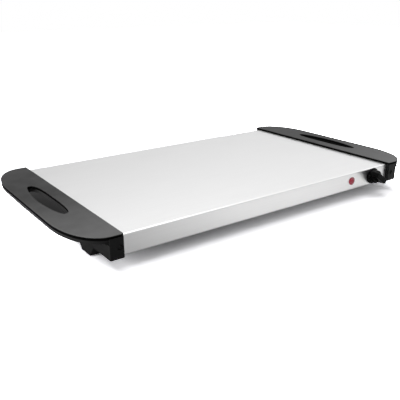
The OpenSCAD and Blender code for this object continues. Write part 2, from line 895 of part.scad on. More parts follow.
module thermal_cutout()
    color("lightgray")
        cutout_place() translate([-cutout_len / 2, 0, 0])
            rotate([0, 90, 0]) cylinder(h = cutout_len, r = cutout_r);

// Saddle that holds the cut-out against the foil
module cutout_clip()
    color(ZINC)
        cutout_place()
            difference() {
                union() {
                    translate([-clip_w / 2, 0, 0])
                        rotate([0, 90, 0]) cylinder(h = clip_w, r = cutout_r + clip_skin);
                    translate([-clip_w / 2, -cutout_r - clip_skin, 0])
                        cube([clip_w, 2 * (cutout_r + clip_skin), cutout_r + fit]);
                    for (s = [0, 1])
                        mirror([0, s, 0])
                            translate([-clip_w / 2, cutout_r, cutout_r + fit - clip_skin])
                                cube([clip_w, clip_tab, clip_skin]);
                }
                translate([-clip_w / 2 - 1, 0, 0])
                    rotate([0, 90, 0]) cylinder(h = clip_w + 2, r = cutout_r + fit);
                translate([-clip_w / 2 - 1, -cutout_r - fit, 0])
                    cube([clip_w + 2, 2 * (cutout_r + fit), big]);
            }

module earth_lug()
    color("goldenrod")
        translate([earth_x, mid_y + earth_y, z_base]) {
            cylinder(h = lug_t, r = 5);
            translate([0, -2.5, 0]) cube([lug_len, 5, lug_t]);
            cylinder(h = earth_stud_len, r = stud_r);
        }

module earth_nut()
    color(ZINC) translate([earth_x, mid_y + earth_y, z_base + lug_t]) hex_nut(nut_af, stud_r + fit, nut_h);

module cord_gland()
    color(BLACK)
        at_gland()
            difference() {
                union() {
                    cylinder(h = gland_flange_t, r1 = gland_flange_r, r2 = gland_flange_r - 1.5);
                    translate([0, 0, -gland_len]) cylinder(h = gland_len + eps, r = gland_body_r);
                }
                translate([0, 0, -gland_len - 1])
                    cylinder(h = gland_len + gland_flange_t + 2, r = gland_bore);
            }

module gland_locknut()
    color(BLACK)
        at_gland() translate([0, 0, -sheet_t - gland_nut_h])
            ring(gland_nut_r, gland_body_r + fit, gland_nut_h);

// Sweeps a tube of lead_r along the smooth curve through hand-picked points
lead_sides = 8;
lead_cuts = 4;
function unit(v) = v / norm(v);
function spline_at(p, i, t) =
    let (a = p[max(i - 1, 0)], b = p[i], c = p[i + 1], d = p[min(i + 2, len(p) - 1)])
        b
        + (c - a) * t / 2
        + (2 * a - 5 * b + 4 * c - d) * t * t / 2
        + (3 * b - a - 3 * c + d) * t * t * t / 2;
function smooth_path(p) = concat(
    [for (i = [0:len(p) - 2], k = [0:lead_cuts - 1]) spline_at(p, i, k / lead_cuts)],
    [p[len(p) - 1]]
);
function tangent_at(p, i) =
    i == 0
        ? unit(p[1] - p[0])
        : i == len(p) - 1 ? unit(p[i] - p[i - 1]) : unit(p[i + 1] - p[i - 1]);
// The first and last cuts are pulled onto the straight line of their end, so that the end is square
function squared_ends(path, p) = [
    for (i = [0:len(path) - 1])
        i == 1
            ? p[0] + norm(path[1] - p[0]) * unit(p[1] - p[0])
            : i == len(path) - 2
                ? p[len(p) - 1] + norm(path[i] - p[len(p) - 1]) * unit(p[len(p) - 2] - p[len(p) - 1])
                : path[i]
];
function square_to(v, t) = unit(v - (v * t) * t);
function carried_normals(p, i, normals) =
    i == len(p)
        ? normals
        : carried_normals(p, i + 1, concat(normals, [square_to(normals[i - 1], tangent_at(p, i))]));
function first_normal(t) = square_to(abs(t[2]) < 0.9 ? [0, 0, 1] : [1, 0, 0], t);
module lead(points) {
    path = squared_ends(smooth_path(points), points);
    normals = carried_normals(path, 1, [first_normal(tangent_at(path, 0))]);
    rings = len(path);
    corners = [
        for (i = [0:rings - 1], k = [0:lead_sides - 1])
            let (a = 360 * k / lead_sides, n = normals[i], b = cross(tangent_at(path, i), n))
                path[i] + lead_r * (cos(a) * n + sin(a) * b)
    ];
    sides = [
        for (i = [0:rings - 2], k = [0:lead_sides - 1])
            let (a = i * lead_sides, b = a + lead_sides, m = (k + 1) % lead_sides)
                [a + k, b + k, b + m, a + m]
    ];
    caps = [
        [for (k = [0:lead_sides - 1]) k],
        [for (k = [lead_sides - 1:-1:0]) (rings - 1) * lead_sides + k]
    ];
    polyhedron(corners, concat(caps, sides), convexity = 6);
}

// Ends of the leads, on the faces of what they join or inside the block's bores
block_front = [block_x, mid_y + block_y - block_size[1] / 2, z_base + block_bore_z];
block_grip = block_bore_depth - 1;
terminal_end = [knob_x, mid_y - half_depth + w_body + body_len + terminal_len + fit, z_control];
lamp_end = [lamp_x, mid_y - half_depth + barrel_len + lamp_tab_len + fit, z_control];
cutout_left = [cutout_x - cutout_len / 2 - fit, mid_y + cutout_y, z_foil - cutout_r - fit];
cutout_right = cutout_left + [cutout_len + 2 * fit, 0, 0];
cable_front = [run_len / 2 + fit, mid_y - (cable_runs - 1) / 2 * run_pitch, z_cable];
cable_back = [run_len / 2 + fit, mid_y + (cable_runs - 1) / 2 * run_pitch, z_cable];
earth_tail = [earth_x + lug_len + fit, mid_y + earth_y, z_base + lead_r + fit];
z_run = z_base + 4;
past_heater = heat_len / 2 + 6;

// A lead's last stretch: in over the foil, straight to an end of the heating cable
function into_cable(end) = [
    [past_heater + 18, end[1], z_cable - 9],
    [past_heater + 10, end[1], z_cable],
    [past_heater - 4, end[1], z_cable],
    end + [12, 0, 0],
    end
];

function out_of_block(x) = [
    block_front + [x, block_grip, 0],
    block_front + [x, 0, 0],
    block_front + [x, -10, 0]
];

module live_lead()
    color("saddlebrown")
        lead(concat(
            out_of_block(block_pitch),
            [
                [block_x + 24, mid_y + block_y - 60, z_run],
                [knob_x - 6, mid_y - 60, z_run],
                terminal_end + [terminal_gap, 30, 0],
                terminal_end + [terminal_gap, 0, 0]
            ]
        ));

module neutral_lead()
    color("royalblue")
        lead(concat(
            out_of_block(0),
            [
                [block_x + 6, mid_y + block_y - 36, z_run + 8],
                [block_x + 32, mid_y + block_y - 40, z_run + 9],
                [block_x + 66, mid_y + block_y - 30, z_run + 5],
                [past_heater, cable_back[1] - 30, z_run + 4]
            ],
            into_cable(cable_back)
        ));

module earth_lead()
    color("limegreen")
        lead(concat(
            out_of_block(-block_pitch),
            [
                [block_x - 26, mid_y + block_y - 30, z_run],
                earth_tail + [12, 0, 0],
                earth_tail
            ]
        ));

module switched_lead()
    color("firebrick")
        lead([
            terminal_end,
            terminal_end + [0, 9, 0],
            [knob_x - 16, terminal_end[1] + 16, z_control + 3],
            cutout_right + [12, 0, 0],
            cutout_right
        ]);

module cutout_lead()
    color("firebrick")
        lead(concat(
            [
                cutout_left,
                cutout_left + [-8, 0, 0],
                [cutout_left[0] - 14, cutout_left[1] + 12, z_run + 10],
                [cutout_left[0] + 30, cutout_left[1] + 34, z_run + 6],
                [past_heater, cable_front[1] + 30, z_run + 6]
            ],
            into_cable(cable_front)
        ));

// One lead to the thermostat's switched side, and one to the block's neutral
module lamp_leads()
    color("darkred") {
        lead([
            lamp_end + [lamp_tab_gap / 2, 0, 0],
            lamp_end + [lamp_tab_gap / 2, 8, 0],
            [lamp_x + 22, lamp_end[1] + 26, z_control - 8],
            [lamp_x + 44, lamp_end[1] + 28, z_control - 8],
            terminal_end + [-terminal_gap, 9, 0],
            terminal_end + [-terminal_gap, 0, 0]
        ]);
        lead(concat(
            [
                lamp_end + [-lamp_tab_gap / 2, 0, 0],
                lamp_end + [-lamp_tab_gap / 2, 10, 0],
                [lamp_x - 14, lamp_end[1] + 40, z_run + 2],
                [block_x - 10, mid_y - 50, z_run + 2],
                [block_x - 10, mid_y + block_y - 50, z_run + 2]
            ],
            [for (i = [2:-1:0]) out_of_block(-block_pitch / 2)[i]]
        ));
    }

top_shell();
base_plate();
base_screws();
left_end_cap();
right_end_cap();
left_handle_cover();
right_handle_cover();
left_handle_screws();
right_handle_screws();
left_cap_screws();
right_cap_screws();
foot_front_left();
foot_front_right();
foot_back_left();
foot_back_right();
heat_spreader();
heating_cable();
backing_foil();
insulation_mat();
mat_bars();
bar_nuts();
thermostat_bushing();
thermostat_washer();
thermostat_nut();
thermostat_bracket();
thermostat_body();
bimetal_blade();
contact_blade();
thermostat_terminals();
thermostat_shaft();
shaft_clip();
knob();
knob_spring();
lamp_lens();
lamp_barrel();
lamp_nut();
lamp_bulb();
lamp_tabs();
terminal_block();
terminal_screws();
thermal_cutout();
cutout_clip();
earth_lug();
earth_nut();
cord_gland();
gland_locknut();
live_lead();
neutral_lead();
earth_lead();
switched_lead();
cutout_lead();
lamp_leads();
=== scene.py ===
# %% [markdown]
# # A warming tray, dressed around its solid model
# The tray is a brushed steel hot plate held between two black moulded ends. Its solid
# model arrives as a fixed frame: every place and size below is read from that frame or
# follows from it. What this lesson adds is what a solid model lacks, which is soft edges
# on the mouldings, true bends in the sheet, and the finish of every surface.

import json
import math

import bpy
import numpy as np
from mathutils import Matrix, Vector


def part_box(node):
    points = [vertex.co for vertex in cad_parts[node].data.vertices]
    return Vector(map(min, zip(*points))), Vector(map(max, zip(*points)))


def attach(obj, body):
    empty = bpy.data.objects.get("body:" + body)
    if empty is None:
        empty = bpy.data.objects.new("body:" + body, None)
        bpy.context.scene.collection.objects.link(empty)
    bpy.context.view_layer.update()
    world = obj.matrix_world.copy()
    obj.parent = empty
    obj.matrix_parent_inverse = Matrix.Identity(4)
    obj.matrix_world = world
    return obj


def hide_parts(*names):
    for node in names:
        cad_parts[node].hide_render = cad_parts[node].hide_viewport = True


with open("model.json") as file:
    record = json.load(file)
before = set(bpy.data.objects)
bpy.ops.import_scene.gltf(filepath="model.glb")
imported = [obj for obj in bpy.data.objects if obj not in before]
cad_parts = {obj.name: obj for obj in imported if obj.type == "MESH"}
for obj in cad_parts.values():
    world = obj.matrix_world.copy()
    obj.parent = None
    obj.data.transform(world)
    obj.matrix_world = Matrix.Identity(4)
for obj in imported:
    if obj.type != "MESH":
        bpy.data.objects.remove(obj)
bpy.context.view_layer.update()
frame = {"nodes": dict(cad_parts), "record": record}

# %% [markdown]
# ## Sizes that the pieces share
# The steel and a handle cover are measured once, in millimetres. The tray is the same at
# both ends, so the right end is built in its own coordinates: u runs outwards from where
# the steel disappears under the handle, v runs from the middle to the back.

# %% Measure the frame
MM = 0.001


def box_mm(node):
    """Lowest and highest corner of a node of the solid model, in millimetres."""
    low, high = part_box(node)
    return np.array(low) / MM, np.array(high) / MM


steel_low, steel_high = box_mm("top_shell")
cover_low, cover_high = box_mm("right_handle_cover")

MID_Y = (steel_low[1] + steel_high[1]) / 2
END_X = cover_low[0]
HALF_DEPTH = (steel_high[1] - steel_low[1]) / 2
CAP_HALF = (cover_high[1] - cover_low[1]) / 2
REACH = cover_high[0] - END_X
TUCK = steel_high[0] - END_X
Z_SKIRT, Z_STEEL = steel_low[2], steel_high[2]
Z_HANDLE = cover_high[2]
print(f"steel {2 * END_X:.0f} x {2 * HALF_DEPTH:.0f} mm, handles reach {REACH:.0f} mm")

# %% [markdown]
# ## The camera
# The camera stands where the photographer stood: to the left of the front, a little over
# a metre away, looking twenty degrees down. A lens length and three angles fix the view,
# and a small roll keeps the far edge at the slope that it has in the picture. The numbers
# come from a least-squares fit to the picture's edges, because a lens length and a
# distance can't be told apart by eye.

# %% Place the camera
CAMERA_PLACE = (-0.6276, -0.8372, 0.3672)
CAMERA_YAW, CAMERA_PITCH, CAMERA_ROLL = 35.538, 20.027, -0.253
FOCAL_PX, FRAME_PX, SENSOR_MM = 551.0, 400, 36.0


def look(yaw, pitch, roll):
    """Turns the camera's -Z to the view: yaw from +Y towards +X, pitch down, then roll."""
    return (
        Matrix.Rotation(math.radians(-yaw), 4, "Z")
        @ Matrix.Rotation(math.radians(90 - pitch), 4, "X")
        @ Matrix.Rotation(math.radians(roll), 4, "Z")
    )


camera_data = bpy.data.cameras.new("camera")
camera_data.sensor_width = SENSOR_MM
camera_data.lens = FOCAL_PX / FRAME_PX * SENSOR_MM
camera_data.clip_end = 50
camera = bpy.data.objects.new("camera", camera_data)
camera.matrix_world = Matrix.Translation(CAMERA_PLACE) @ look(CAMERA_YAW, CAMERA_PITCH, CAMERA_ROLL)
bpy.context.collection.objects.link(camera)
bpy.context.scene.camera = camera
print(f"lens {camera_data.lens:.1f} mm")

# %% [markdown]
# ## The studio
# A product photograph of metal is a photograph of its surroundings. The room here is
# white, and a wide soft lamp hangs over it. Mirror rays see a room that is brighter
# overhead and to the right, as beside a large soft box, which gives the steel its slow
# fall of tone from front to back. Camera rays see plain white where nothing stands.

# %% Build the room
scene = bpy.context.scene
scene.view_settings.view_transform = "Standard"
ROOM_LEVEL = 0.50
SOFT_BOX_LEAN = (1.0, 0.0, 3.9)
SOFT_BOX_START, SOFT_BOX_FULL = 1.3, 1.9
MIRROR_DARK, MIRROR_BRIGHT = 0.3, 1.08


def add_node(tree, kind, **inputs):
    """Adds a node and fills the inputs named, with underscores for spaces."""
    made = tree.nodes.new(kind)
    for name, value in inputs.items():
        made.inputs[name.replace("_", " ")].default_value = value
    return made


def choose(tree, ray_kind, otherwise, chosen):
    """A shader that is chosen for rays of one kind, and otherwise the other."""
    rays = tree.nodes.new("ShaderNodeLightPath")
    mix = tree.nodes.new("ShaderNodeMixShader")
    tree.links.new(rays.outputs[ray_kind], mix.inputs[0])
    tree.links.new(otherwise, mix.inputs[1])
    tree.links.new(chosen, mix.inputs[2])
    return mix.outputs[0]


def build_room():
    """Mirror level = dark to bright as the ray's direction leans to the soft box."""
    world = bpy.data.worlds.new("studio")
    scene.world = world
    world.use_nodes = True
    tree = world.node_tree
    plain = tree.nodes["Background"]
    plain.inputs["Color"].default_value = (1, 1, 1, 1)
    plain.inputs["Strength"].default_value = ROOM_LEVEL
    direction = tree.nodes.new("ShaderNodeTexCoord")
    lean = tree.nodes.new("ShaderNodeVectorMath")
    lean.operation = "DOT_PRODUCT"
    lean.inputs[1].default_value = SOFT_BOX_LEAN
    tree.links.new(direction.outputs["Generated"], lean.inputs[0])
    level = add_node(tree, "ShaderNodeMapRange", From_Min=SOFT_BOX_START, From_Max=SOFT_BOX_FULL)
    level.inputs["To Min"].default_value = MIRROR_DARK
    level.inputs["To Max"].default_value = MIRROR_BRIGHT
    tree.links.new(lean.outputs["Value"], level.inputs["Value"])
    mirrored = add_node(tree, "ShaderNodeBackground", Color=(1, 1, 1, 1))
    tree.links.new(level.outputs[0], mirrored.inputs["Strength"])
    white = add_node(tree, "ShaderNodeBackground", Color=(1, 1, 1, 1), Strength=1.0)
    lit = choose(tree, "Is Glossy Ray", plain.outputs[0], mirrored.outputs[0])
    seen = choose(tree, "Is Camera Ray", lit, white.outputs[0])
    tree.links.new(seen, tree.nodes["World Output"].inputs["Surface"])


build_room()
print(f"room: {ROOM_LEVEL} of white, {MIRROR_DARK} to {MIRROR_BRIGHT} for mirror rays")

# %% [markdown]
# One tool makes a level that changes along an object, one turns a level into colours, and
# the third joins the two into a grey over X. They use the object's own coordinates, so
# nothing has to be unwrapped and no picture is needed.

# %% Levels and greys over a length
def over_axis(tree, axis, start, end, low, high, both_ways=False):
    """A level that goes from low to high as the object's X or Y goes from start to end."""
    coords = tree.nodes.new("ShaderNodeTexCoord")
    split = tree.nodes.new("ShaderNodeSeparateXYZ")
    tree.links.new(coords.outputs["Object"], split.inputs[0])
    along = split.outputs[axis]
    if both_ways:
        size = tree.nodes.new("ShaderNodeMath")
        size.operation = "ABSOLUTE"
        tree.links.new(along, size.inputs[0])
        along = size.outputs[0]
    level = add_node(tree, "ShaderNodeMapRange", From_Min=start, From_Max=end, To_Min=low, To_Max=high)
    tree.links.new(along, level.inputs["Value"])
    return level.outputs[0]


def ramp(tree, source, stops):
    """A colour ramp over a source: stops are (position, grey or (r, g, b))."""
    made = tree.nodes.new("ShaderNodeValToRGB")
    while len(made.color_ramp.elements) < len(stops):
        made.color_ramp.elements.new(0.5)
    for element, (position, colour) in zip(made.color_ramp.elements, stops):
        rgb = (colour,) * 3 if isinstance(colour, (int, float)) else colour
        element.position, element.color = position, (*rgb, 1)
    tree.links.new(source, made.inputs[0])
    return made.outputs[0]


def tones_over_x(tree, tones):
    """A grey that runs through the (x in metres, tone) pairs along the object's X."""
    start, end = tones[0][0], tones[-1][0]
    stops = [((x - start) / (end - start), tone) for x, tone in tones]
    return ramp(tree, over_axis(tree, "X", start, end, 0, 1), stops)


print("shader tools: a level over an axis, a ramp, a grey over X")

# %% [markdown]
# The floor is white card. Printed product pictures lift such a card until it is pure
# white and only the nearest shadow is left, so to the camera the card is a little over
# white, with a trace of blue that shows in the shadow. It is lifted most past the two
# ends and far to the front and back, which is painted light that washes the shadow out
# there. To the tray it is a card with painted shade, darker towards the left end, and
# the front skirt mirrors that shade.

# %% Lay the floor
FLOOR_SIZE = 12.0
CARD_SEEN = (1.38, 1.38, 1.41)
# Painted light: past these distances the card seen by the camera is lifted, which washes out the shadow
# there.
PAINTED_LIGHT_FROM, PAINTED_LIGHT_TO, PAINTED_LIGHT_GAIN = 0.308, 0.345, 3.4
PAINTED_LIGHT_FAR_FROM, PAINTED_LIGHT_FAR_TO = 0.5, 0.9
# Painted shade: to rays from the tray the card is darker near the left end, and the front skirt mirrors
# it.
CARD_SHADE_TONES = [(-0.60, 0.95), (-0.45, 0.84), (-0.34, 0.30), (-0.26, 0.42), (-0.02, 0.86), (0.15, 0.92)]


def card_finish():
    """To the tray a tone over X with painted shade; to the camera white, times a painted-light lift
    past both ends and far off.
    """
    card = bpy.data.materials.new("white_card")
    card.use_nodes = True
    tree = card.node_tree
    tree.nodes.remove(tree.nodes["Principled BSDF"])
    pale, lifted = (tree.nodes.new("ShaderNodeBsdfDiffuse") for _ in range(2))
    tree.links.new(tones_over_x(tree, CARD_SHADE_TONES), pale.inputs["Color"])
    scale = tree.nodes.new("ShaderNodeVectorMath")
    scale.operation = "SCALE"
    scale.inputs[0].default_value = CARD_SEEN
    most = tree.nodes.new("ShaderNodeMath")
    most.operation = "MAXIMUM"
    for k, (axis, start, end) in enumerate([("X", PAINTED_LIGHT_FROM, PAINTED_LIGHT_TO), ("Y", PAINTED_LIGHT_FAR_FROM, PAINTED_LIGHT_FAR_TO)]):
        tree.links.new(over_axis(tree, axis, start, end, 1, PAINTED_LIGHT_GAIN, both_ways=True), most.inputs[k])
    tree.links.new(most.outputs[0], scale.inputs["Scale"])
    tree.links.new(scale.outputs[0], lifted.inputs["Color"])
    seen = choose(tree, "Is Camera Ray", pale.outputs[0], lifted.outputs[0])
    tree.links.new(seen, tree.nodes["Material Output"].inputs["Surface"])
    return card


def build_floor():
    """One large square at the height that the tray stands on."""
    half = FLOOR_SIZE / 2
    mesh = bpy.data.meshes.new("floor")
    corners = [(-half, -half, 0), (half, -half, 0), (half, half, 0), (-half, half, 0)]
    mesh.from_pydata(corners, [], [(0, 1, 2, 3)])
    mesh.materials.append(card_finish())
    floor = bpy.data.objects.new("floor", mesh)
    bpy.context.collection.objects.link(floor)


build_floor()
print(f"floor: {FLOOR_SIZE:.0f} m of card with {len(CARD_SHADE_TONES)} tones")

# %% [markdown]
# The overhead lamp is two metres wide, so its shadow has no hard line. A square panel
# stands low at each side and lights the outer walls of the two ends.

# %% Hang the lamps
LAMPS = [
    ("overhead", (0.1, 0.5, 2.2), (0, 0, 0), 2.0, 30),
    ("left_panel", (-1.8, -0.1, 0.4), (0, 0, 0.05), 0.9, 26),
    ("right_panel", (1.8, 0.1, 0.5), (0, 0, 0.05), 0.9, 3),
]


def add_lamp(name, place, aim, size, watts):
    """A square soft lamp at place that shines at aim."""
    data = bpy.data.lights.new(name, "AREA")
    data.size = size
    data.energy = watts
    lamp = bpy.data.objects.new(name, data)
    toward = Vector(aim) - Vector(place)
    turn = toward.to_track_quat("-Z", "Y").to_matrix().to_4x4()
    lamp.matrix_world = Matrix.Translation(place) @ turn
    bpy.context.collection.objects.link(lamp)


for lamp in LAMPS:
    add_lamp(*lamp)
print("lamps:", len(LAMPS))

# %% [markdown]
# ## Turning curves into skins
# Nearly every piece here is a closed curve carried along a profile: at each step of the
# profile the curve is drawn in or pushed out and set at a height. The rings are one
# array of points, and the faces are one array of index quads, so a piece of many
# thousand points is made without a loop over them.

# %% Rings of points to a closed skin
def ring_quads(rings, around, looped):
    """Quads between ring i and ring i+1, as indices i*around + j; looped adds last to first."""
    rows = np.arange(rings if looped else rings - 1)[:, None]
    cols = np.arange(around)[None, :]
    next_row, next_col = (rows + 1) % rings, (cols + 1) % around
    corners = [(rows, cols), (rows, next_col), (next_row, next_col), (next_row, cols)]
    return np.stack([row * around + col for row, col in corners], axis=-1).reshape(-1, 4)


def signed_volume(points, quads):
    """Sum of a.(b x c)/6 over the two triangles of each quad: positive if faces point out."""
    a, b, c, d = (points[quads[:, k]] for k in range(4))
    first = np.einsum("ij,ij->i", a, np.cross(b, c))
    second = np.einsum("ij,ij->i", a, np.cross(c, d))
    return (first + second).sum() / 6


def skin(name, rings, looped=False):
    """Makes an object from rings (steps, around, 3) in mm; open ends get one flat face each."""
    steps, around = rings.shape[:2]
    points = rings.reshape(-1, 3)
    quads = ring_quads(steps, around, looped)
    centred = points - points.mean(axis=0)
    outward = signed_volume(centred, quads) > 0
    quads = quads if outward else quads[:, ::-1]
    mesh = bpy.data.meshes.new(name)
    faces = quads.tolist()
    if not looped:
        first, last = list(range(around)), list(range((steps - 1) * around, steps * around))
        faces += [first[::-1], last] if outward else [first, last[::-1]]
    mesh.from_pydata((points * MM).tolist(), [], faces)
    mesh.update()
    made = bpy.data.objects.new(name, mesh)
    bpy.context.collection.objects.link(made)
    return made


print("two rings of three points:", ring_quads(2, 3, looped=False).tolist())

# %% [markdown]
# Two small tools draw the curves. The first rounds a polygon's corners with arcs. The
# second pushes a closed curve out by a distance, along the mitre of its neighbours, which
# keeps straight sides straight and parallel.

# %% Curves in the plane
def arc(centre, radius, start, end, steps):
    """Points centre + radius (cos a, sin a) for a from start to end, in degrees."""
    a = np.radians(np.linspace(start, end, steps))
    return np.array(centre) + radius * np.stack([np.cos(a), np.sin(a)], axis=1)


def rounded(corners, radii, steps=6):
    """A polygon, anticlockwise, whose corner i is an arc of radii[i] that touches both sides."""
    corners = np.array(corners, dtype=float)
    pieces = []
    for i, corner in enumerate(corners):
        before, after = corners[i - 1] - corner, corners[(i + 1) % len(corners)] - corner
        before, after = before / np.linalg.norm(before), after / np.linalg.norm(after)
        half = math.acos(float(np.clip(before @ after, -1, 1))) / 2
        bisector = (before + after) / np.linalg.norm(before + after)
        centre = corner + bisector * radii[i] / math.sin(half)
        turn = math.pi - 2 * half
        middle = math.atan2(-bisector[1], -bisector[0])
        a = middle + np.linspace(-turn / 2, turn / 2, steps)
        pieces.append(centre + radii[i] * np.stack([np.cos(a), np.sin(a)], axis=1))
    return np.concatenate(pieces)


def pushed(curve, distance):
    """Moves each point of an anticlockwise curve outwards by distance along its mitre."""
    edges = np.roll(curve, -1, axis=0) - curve
    normals = np.stack([edges[:, 1], -edges[:, 0]], axis=1)
    normals /= np.linalg.norm(normals, axis=1, keepdims=True)
    before = np.roll(normals, 1, axis=0)
    mitre = (normals + before) / (1 + (normals * before).sum(axis=1, keepdims=True))
    return curve + mitre * np.reshape(distance, (-1, 1))


def quarter(radius, steps=5):
    """A rounded edge from its wall to its face: inset r(1 - cos a), drop r(1 - sin a)."""
    a = np.radians(np.linspace(0, 90, steps))
    return radius * (1 - np.cos(a)), radius * (1 - np.sin(a))


print("a quarter circle:", arc((0, 0), 1, 0, 90, 3).round(2).tolist())

# %% [markdown]
# A slab is a curve stood up between two levels, and either of its rims can be rounded.
# The axis says which way the slab is extruded, so the same tool makes the channels, the
# gussets, the legs and most of the cutters.

# %% Slabs
AXES = {"z": (0, 1, 2), "x": (1, 2, 0), "y": (0, 2, 1)}


def stand(curve, level, axis):
    """Puts a plane curve at a level along an axis: z gives (a, b, h), x (h, a, b), y (a, h, b)."""
    first, second, along = AXES[axis]
    points = np.zeros((len(curve), 3))
    points[:, first], points[:, second], points[:, along] = curve[:, 0], curve[:, 1], level
    return points


def slab(name, curve, low, high, axis="z", low_round=0.0, high_round=0.0):
    """A closed curve extruded from low to high, its two rims rounded by the radii given."""
    rings = []
    for inset, rise in list(zip(*quarter(low_round)))[::-1] if low_round else [(0, 0)]:
        rings.append(stand(pushed(curve, -inset), low + rise, axis))
    for inset, drop in zip(*quarter(high_round)) if high_round else [(0, 0)]:
        rings.append(stand(pushed(curve, -inset), high - drop, axis))
    return skin(name, np.stack(rings))


def turned(name, profile, around=96):
    """A profile of (radius, height) points turned about +Z; the first and last are flat ends."""
    profile = np.array(profile, dtype=float)
    a = np.linspace(0, 2 * math.pi, around, endpoint=False)
    rings = np.zeros((len(profile), around, 3))
    rings[..., 0] = profile[:, :1] * np.cos(a)
    rings[..., 1] = profile[:, :1] * np.sin(a)
    rings[..., 2] = profile[:, 1:]
    return skin(name, rings)


print("(1, 2) at level 3 along x:", stand(np.array([[1, 2]]), 3, "x")[0].tolist())

# %% [markdown]
# A moulding is one piece of plastic, so slabs that meet in it are joined by a Boolean
# union, and screw holes and hollows are cut from it. The cutter of a screw recess has a
# flared mouth, which leaves the soft edge that a mould gives to a hole.

# %% Joining and cutting
def transformed(piece, matrix):
    """Moves a piece's points by a matrix in metres; its object stays at the origin."""
    piece.data.transform(matrix)
    if matrix.determinant() < 0:
        piece.data.flip_normals()
    return piece


def boolean(piece, others, operation):
    """Unions others with a piece, or cuts them from it, and keeps one closed mesh."""
    for other in others:
        step = piece.modifiers.new(operation, "BOOLEAN")
        step.operation = operation
        step.solver = "MANIFOLD"
        step.object = other
    bpy.context.view_layer.update()
    result = bpy.data.meshes.new_from_object(piece.evaluated_get(bpy.context.evaluated_depsgraph_get()))
    piece.modifiers.clear()
    piece.data = result
    result.name = piece.name
    for other in others:
        bpy.data.objects.remove(other)
    return piece


print("joining and cutting: a solver that takes and gives closed meshes")

# %% [markdown]
# Pieces are built in the end's own coordinates, in millimetres, and then placed. The left
# end is the right one mirrored. Folds are shaded smooth up to an angle, and flat faces
# keep their own normal, so that a soft edge doesn't bend the light on the face beside it.

# %% Placing, mirroring and shading
def soften(piece, angle=35):
    """Smooth shading across gentle folds, and flat faces that keep their own normal."""
    mesh = piece.data
    mesh.polygons.foreach_set("use_smooth", np.ones(len(mesh.polygons), dtype=bool))
    mesh.set_sharp_from_angle(angle=math.radians(angle))
    weigh = piece.modifiers.new("flat_faces", "WEIGHTED_NORMAL")
    weigh.keep_sharp = True
    return piece


def from_mm(x, y, z):
    """A translation given in millimetres."""
    return Matrix.Translation((x * MM, y * MM, z * MM))


def to_right_end(piece):
    """Takes a piece built in (u, v, z) to the right end of the tray."""
    return transformed(piece, from_mm(END_X, MID_Y, 0))


def twin(piece, name):
    """The mirror image of a piece across the middle of the tray's length."""
    other = piece.copy()
    other.data = piece.data.copy()
    other.name = other.data.name = name
    bpy.context.collection.objects.link(other)
    return transformed(other, Matrix.Diagonal((-1, 1, 1, 1)))


print(f"the right end starts {END_X:.0f} mm from the middle")

# %% [markdown]
# ## The steel
# The hot plate is one sheet, folded down at the front and back and folded in again
# underneath. Its section is a closed curve: the outside path, then the inside path back.
# The sheet steps down a little at each end, where a handle sits on it. A box with a bevel
# would show the same outline, but a section carried along the length has the true bends,
# which catch the light as a thin line, and the sheet's own thickness.

# %% Fold the sheet
SHEET = 0.8
BEND = 2.5
FLANGE = 12
END_STEP = 0.4
STEP_AT = 0.5


def fold_path(inward):
    """The sheet's section at one skin: flange, bend, skirt, bend, top, and down the back."""
    r = BEND - inward
    low, high, half = Z_SKIRT + inward, Z_STEEL - inward, HALF_DEPTH - inward
    front_low = arc((-half + r, low + r), r, 270, 180, 9)
    front_high = arc((-half + r, high - r), r, 180, 90, 9)
    front = np.concatenate([[[-HALF_DEPTH + FLANGE, low]], front_low, front_high])
    back = front[::-1] * [-1, 1]
    return np.concatenate([front, back])


def steel_sheet():
    """The section as rings along X; the ends of the sheet are lower by the step."""
    section = np.concatenate([fold_path(0), fold_path(SHEET)[::-1]])
    half = END_X + TUCK
    step = END_X - STEP_AT
    xs = np.array([-half, -step, -step, *np.linspace(-step, step, 9)[1:-1], step, step, half])
    drops = np.array([END_STEP, END_STEP, *([0] * 9), END_STEP, END_STEP])
    rings = np.zeros((len(xs), len(section), 3))
    rings[..., 0] = xs[:, None]
    rings[..., 1] = section[:, 0] + MID_Y
    upper = section[:, 1] > (Z_SKIRT + Z_STEEL) / 2
    rings[..., 2] = section[:, 1] - drops[:, None] * upper
    return skin("hot_plate", rings)


CLOSE_FIT, PAST_END = 0.05, 1
BUSHING_R, GLAND_R = 5, 6.2


def hole_cutter(node, radius=None):
    """A cylinder along Y through a node's centre: the radius given, or the node's, plus a gap."""
    low, high = box_mm(node)
    radius = (radius or (high - low)[[0, 2]].min() / 2) + CLOSE_FIT
    curve = arc((0, 0), radius, 0, 360, 49)[:-1]
    made = slab("cutter", curve, low[1] - PAST_END, high[1] + PAST_END, "y")
    centre = (low + high) / 2
    return transformed(made, from_mm(centre[0], 0, centre[2]))


hot_plate = steel_sheet()
holes = [
    hole_cutter("lamp_barrel"),
    hole_cutter("thermostat_bushing", BUSHING_R),
    hole_cutter("cord_gland", GLAND_R),
]
hot_plate = boolean(hot_plate, holes, "DIFFERENCE")
print("hot plate:", len(hot_plate.data.polygons), "faces")

# %% [markdown]
# ## The outline of a handle
# Seen from above a handle is a D. Its straight front edge bends into a long corner that
# is a quarter of a superellipse, then a straight rim, then the same again. The opening
# for the fingers is two half superellipses: nearly straight towards the steel, and more
# bowed towards the rim. A superellipse was chosen over a hand-drawn curve because one
# number says how square its corner is.

# %% Draw the outline and the opening
CORNER_U, CORNER_V, CORNER_POWER = 57, 107, 2.15
GRIP_U, GRIP_HALF = 38, 81.5
GRIP_IN, GRIP_OUT = 14.4, 13.2
GRIP_IN_POWER, GRIP_OUT_POWER = 3.2, 1.65
SHARP_CORNER = 1.2
CORNER_POINTS, RIM_POINTS, SIDE_POINTS = 64, 24, 60


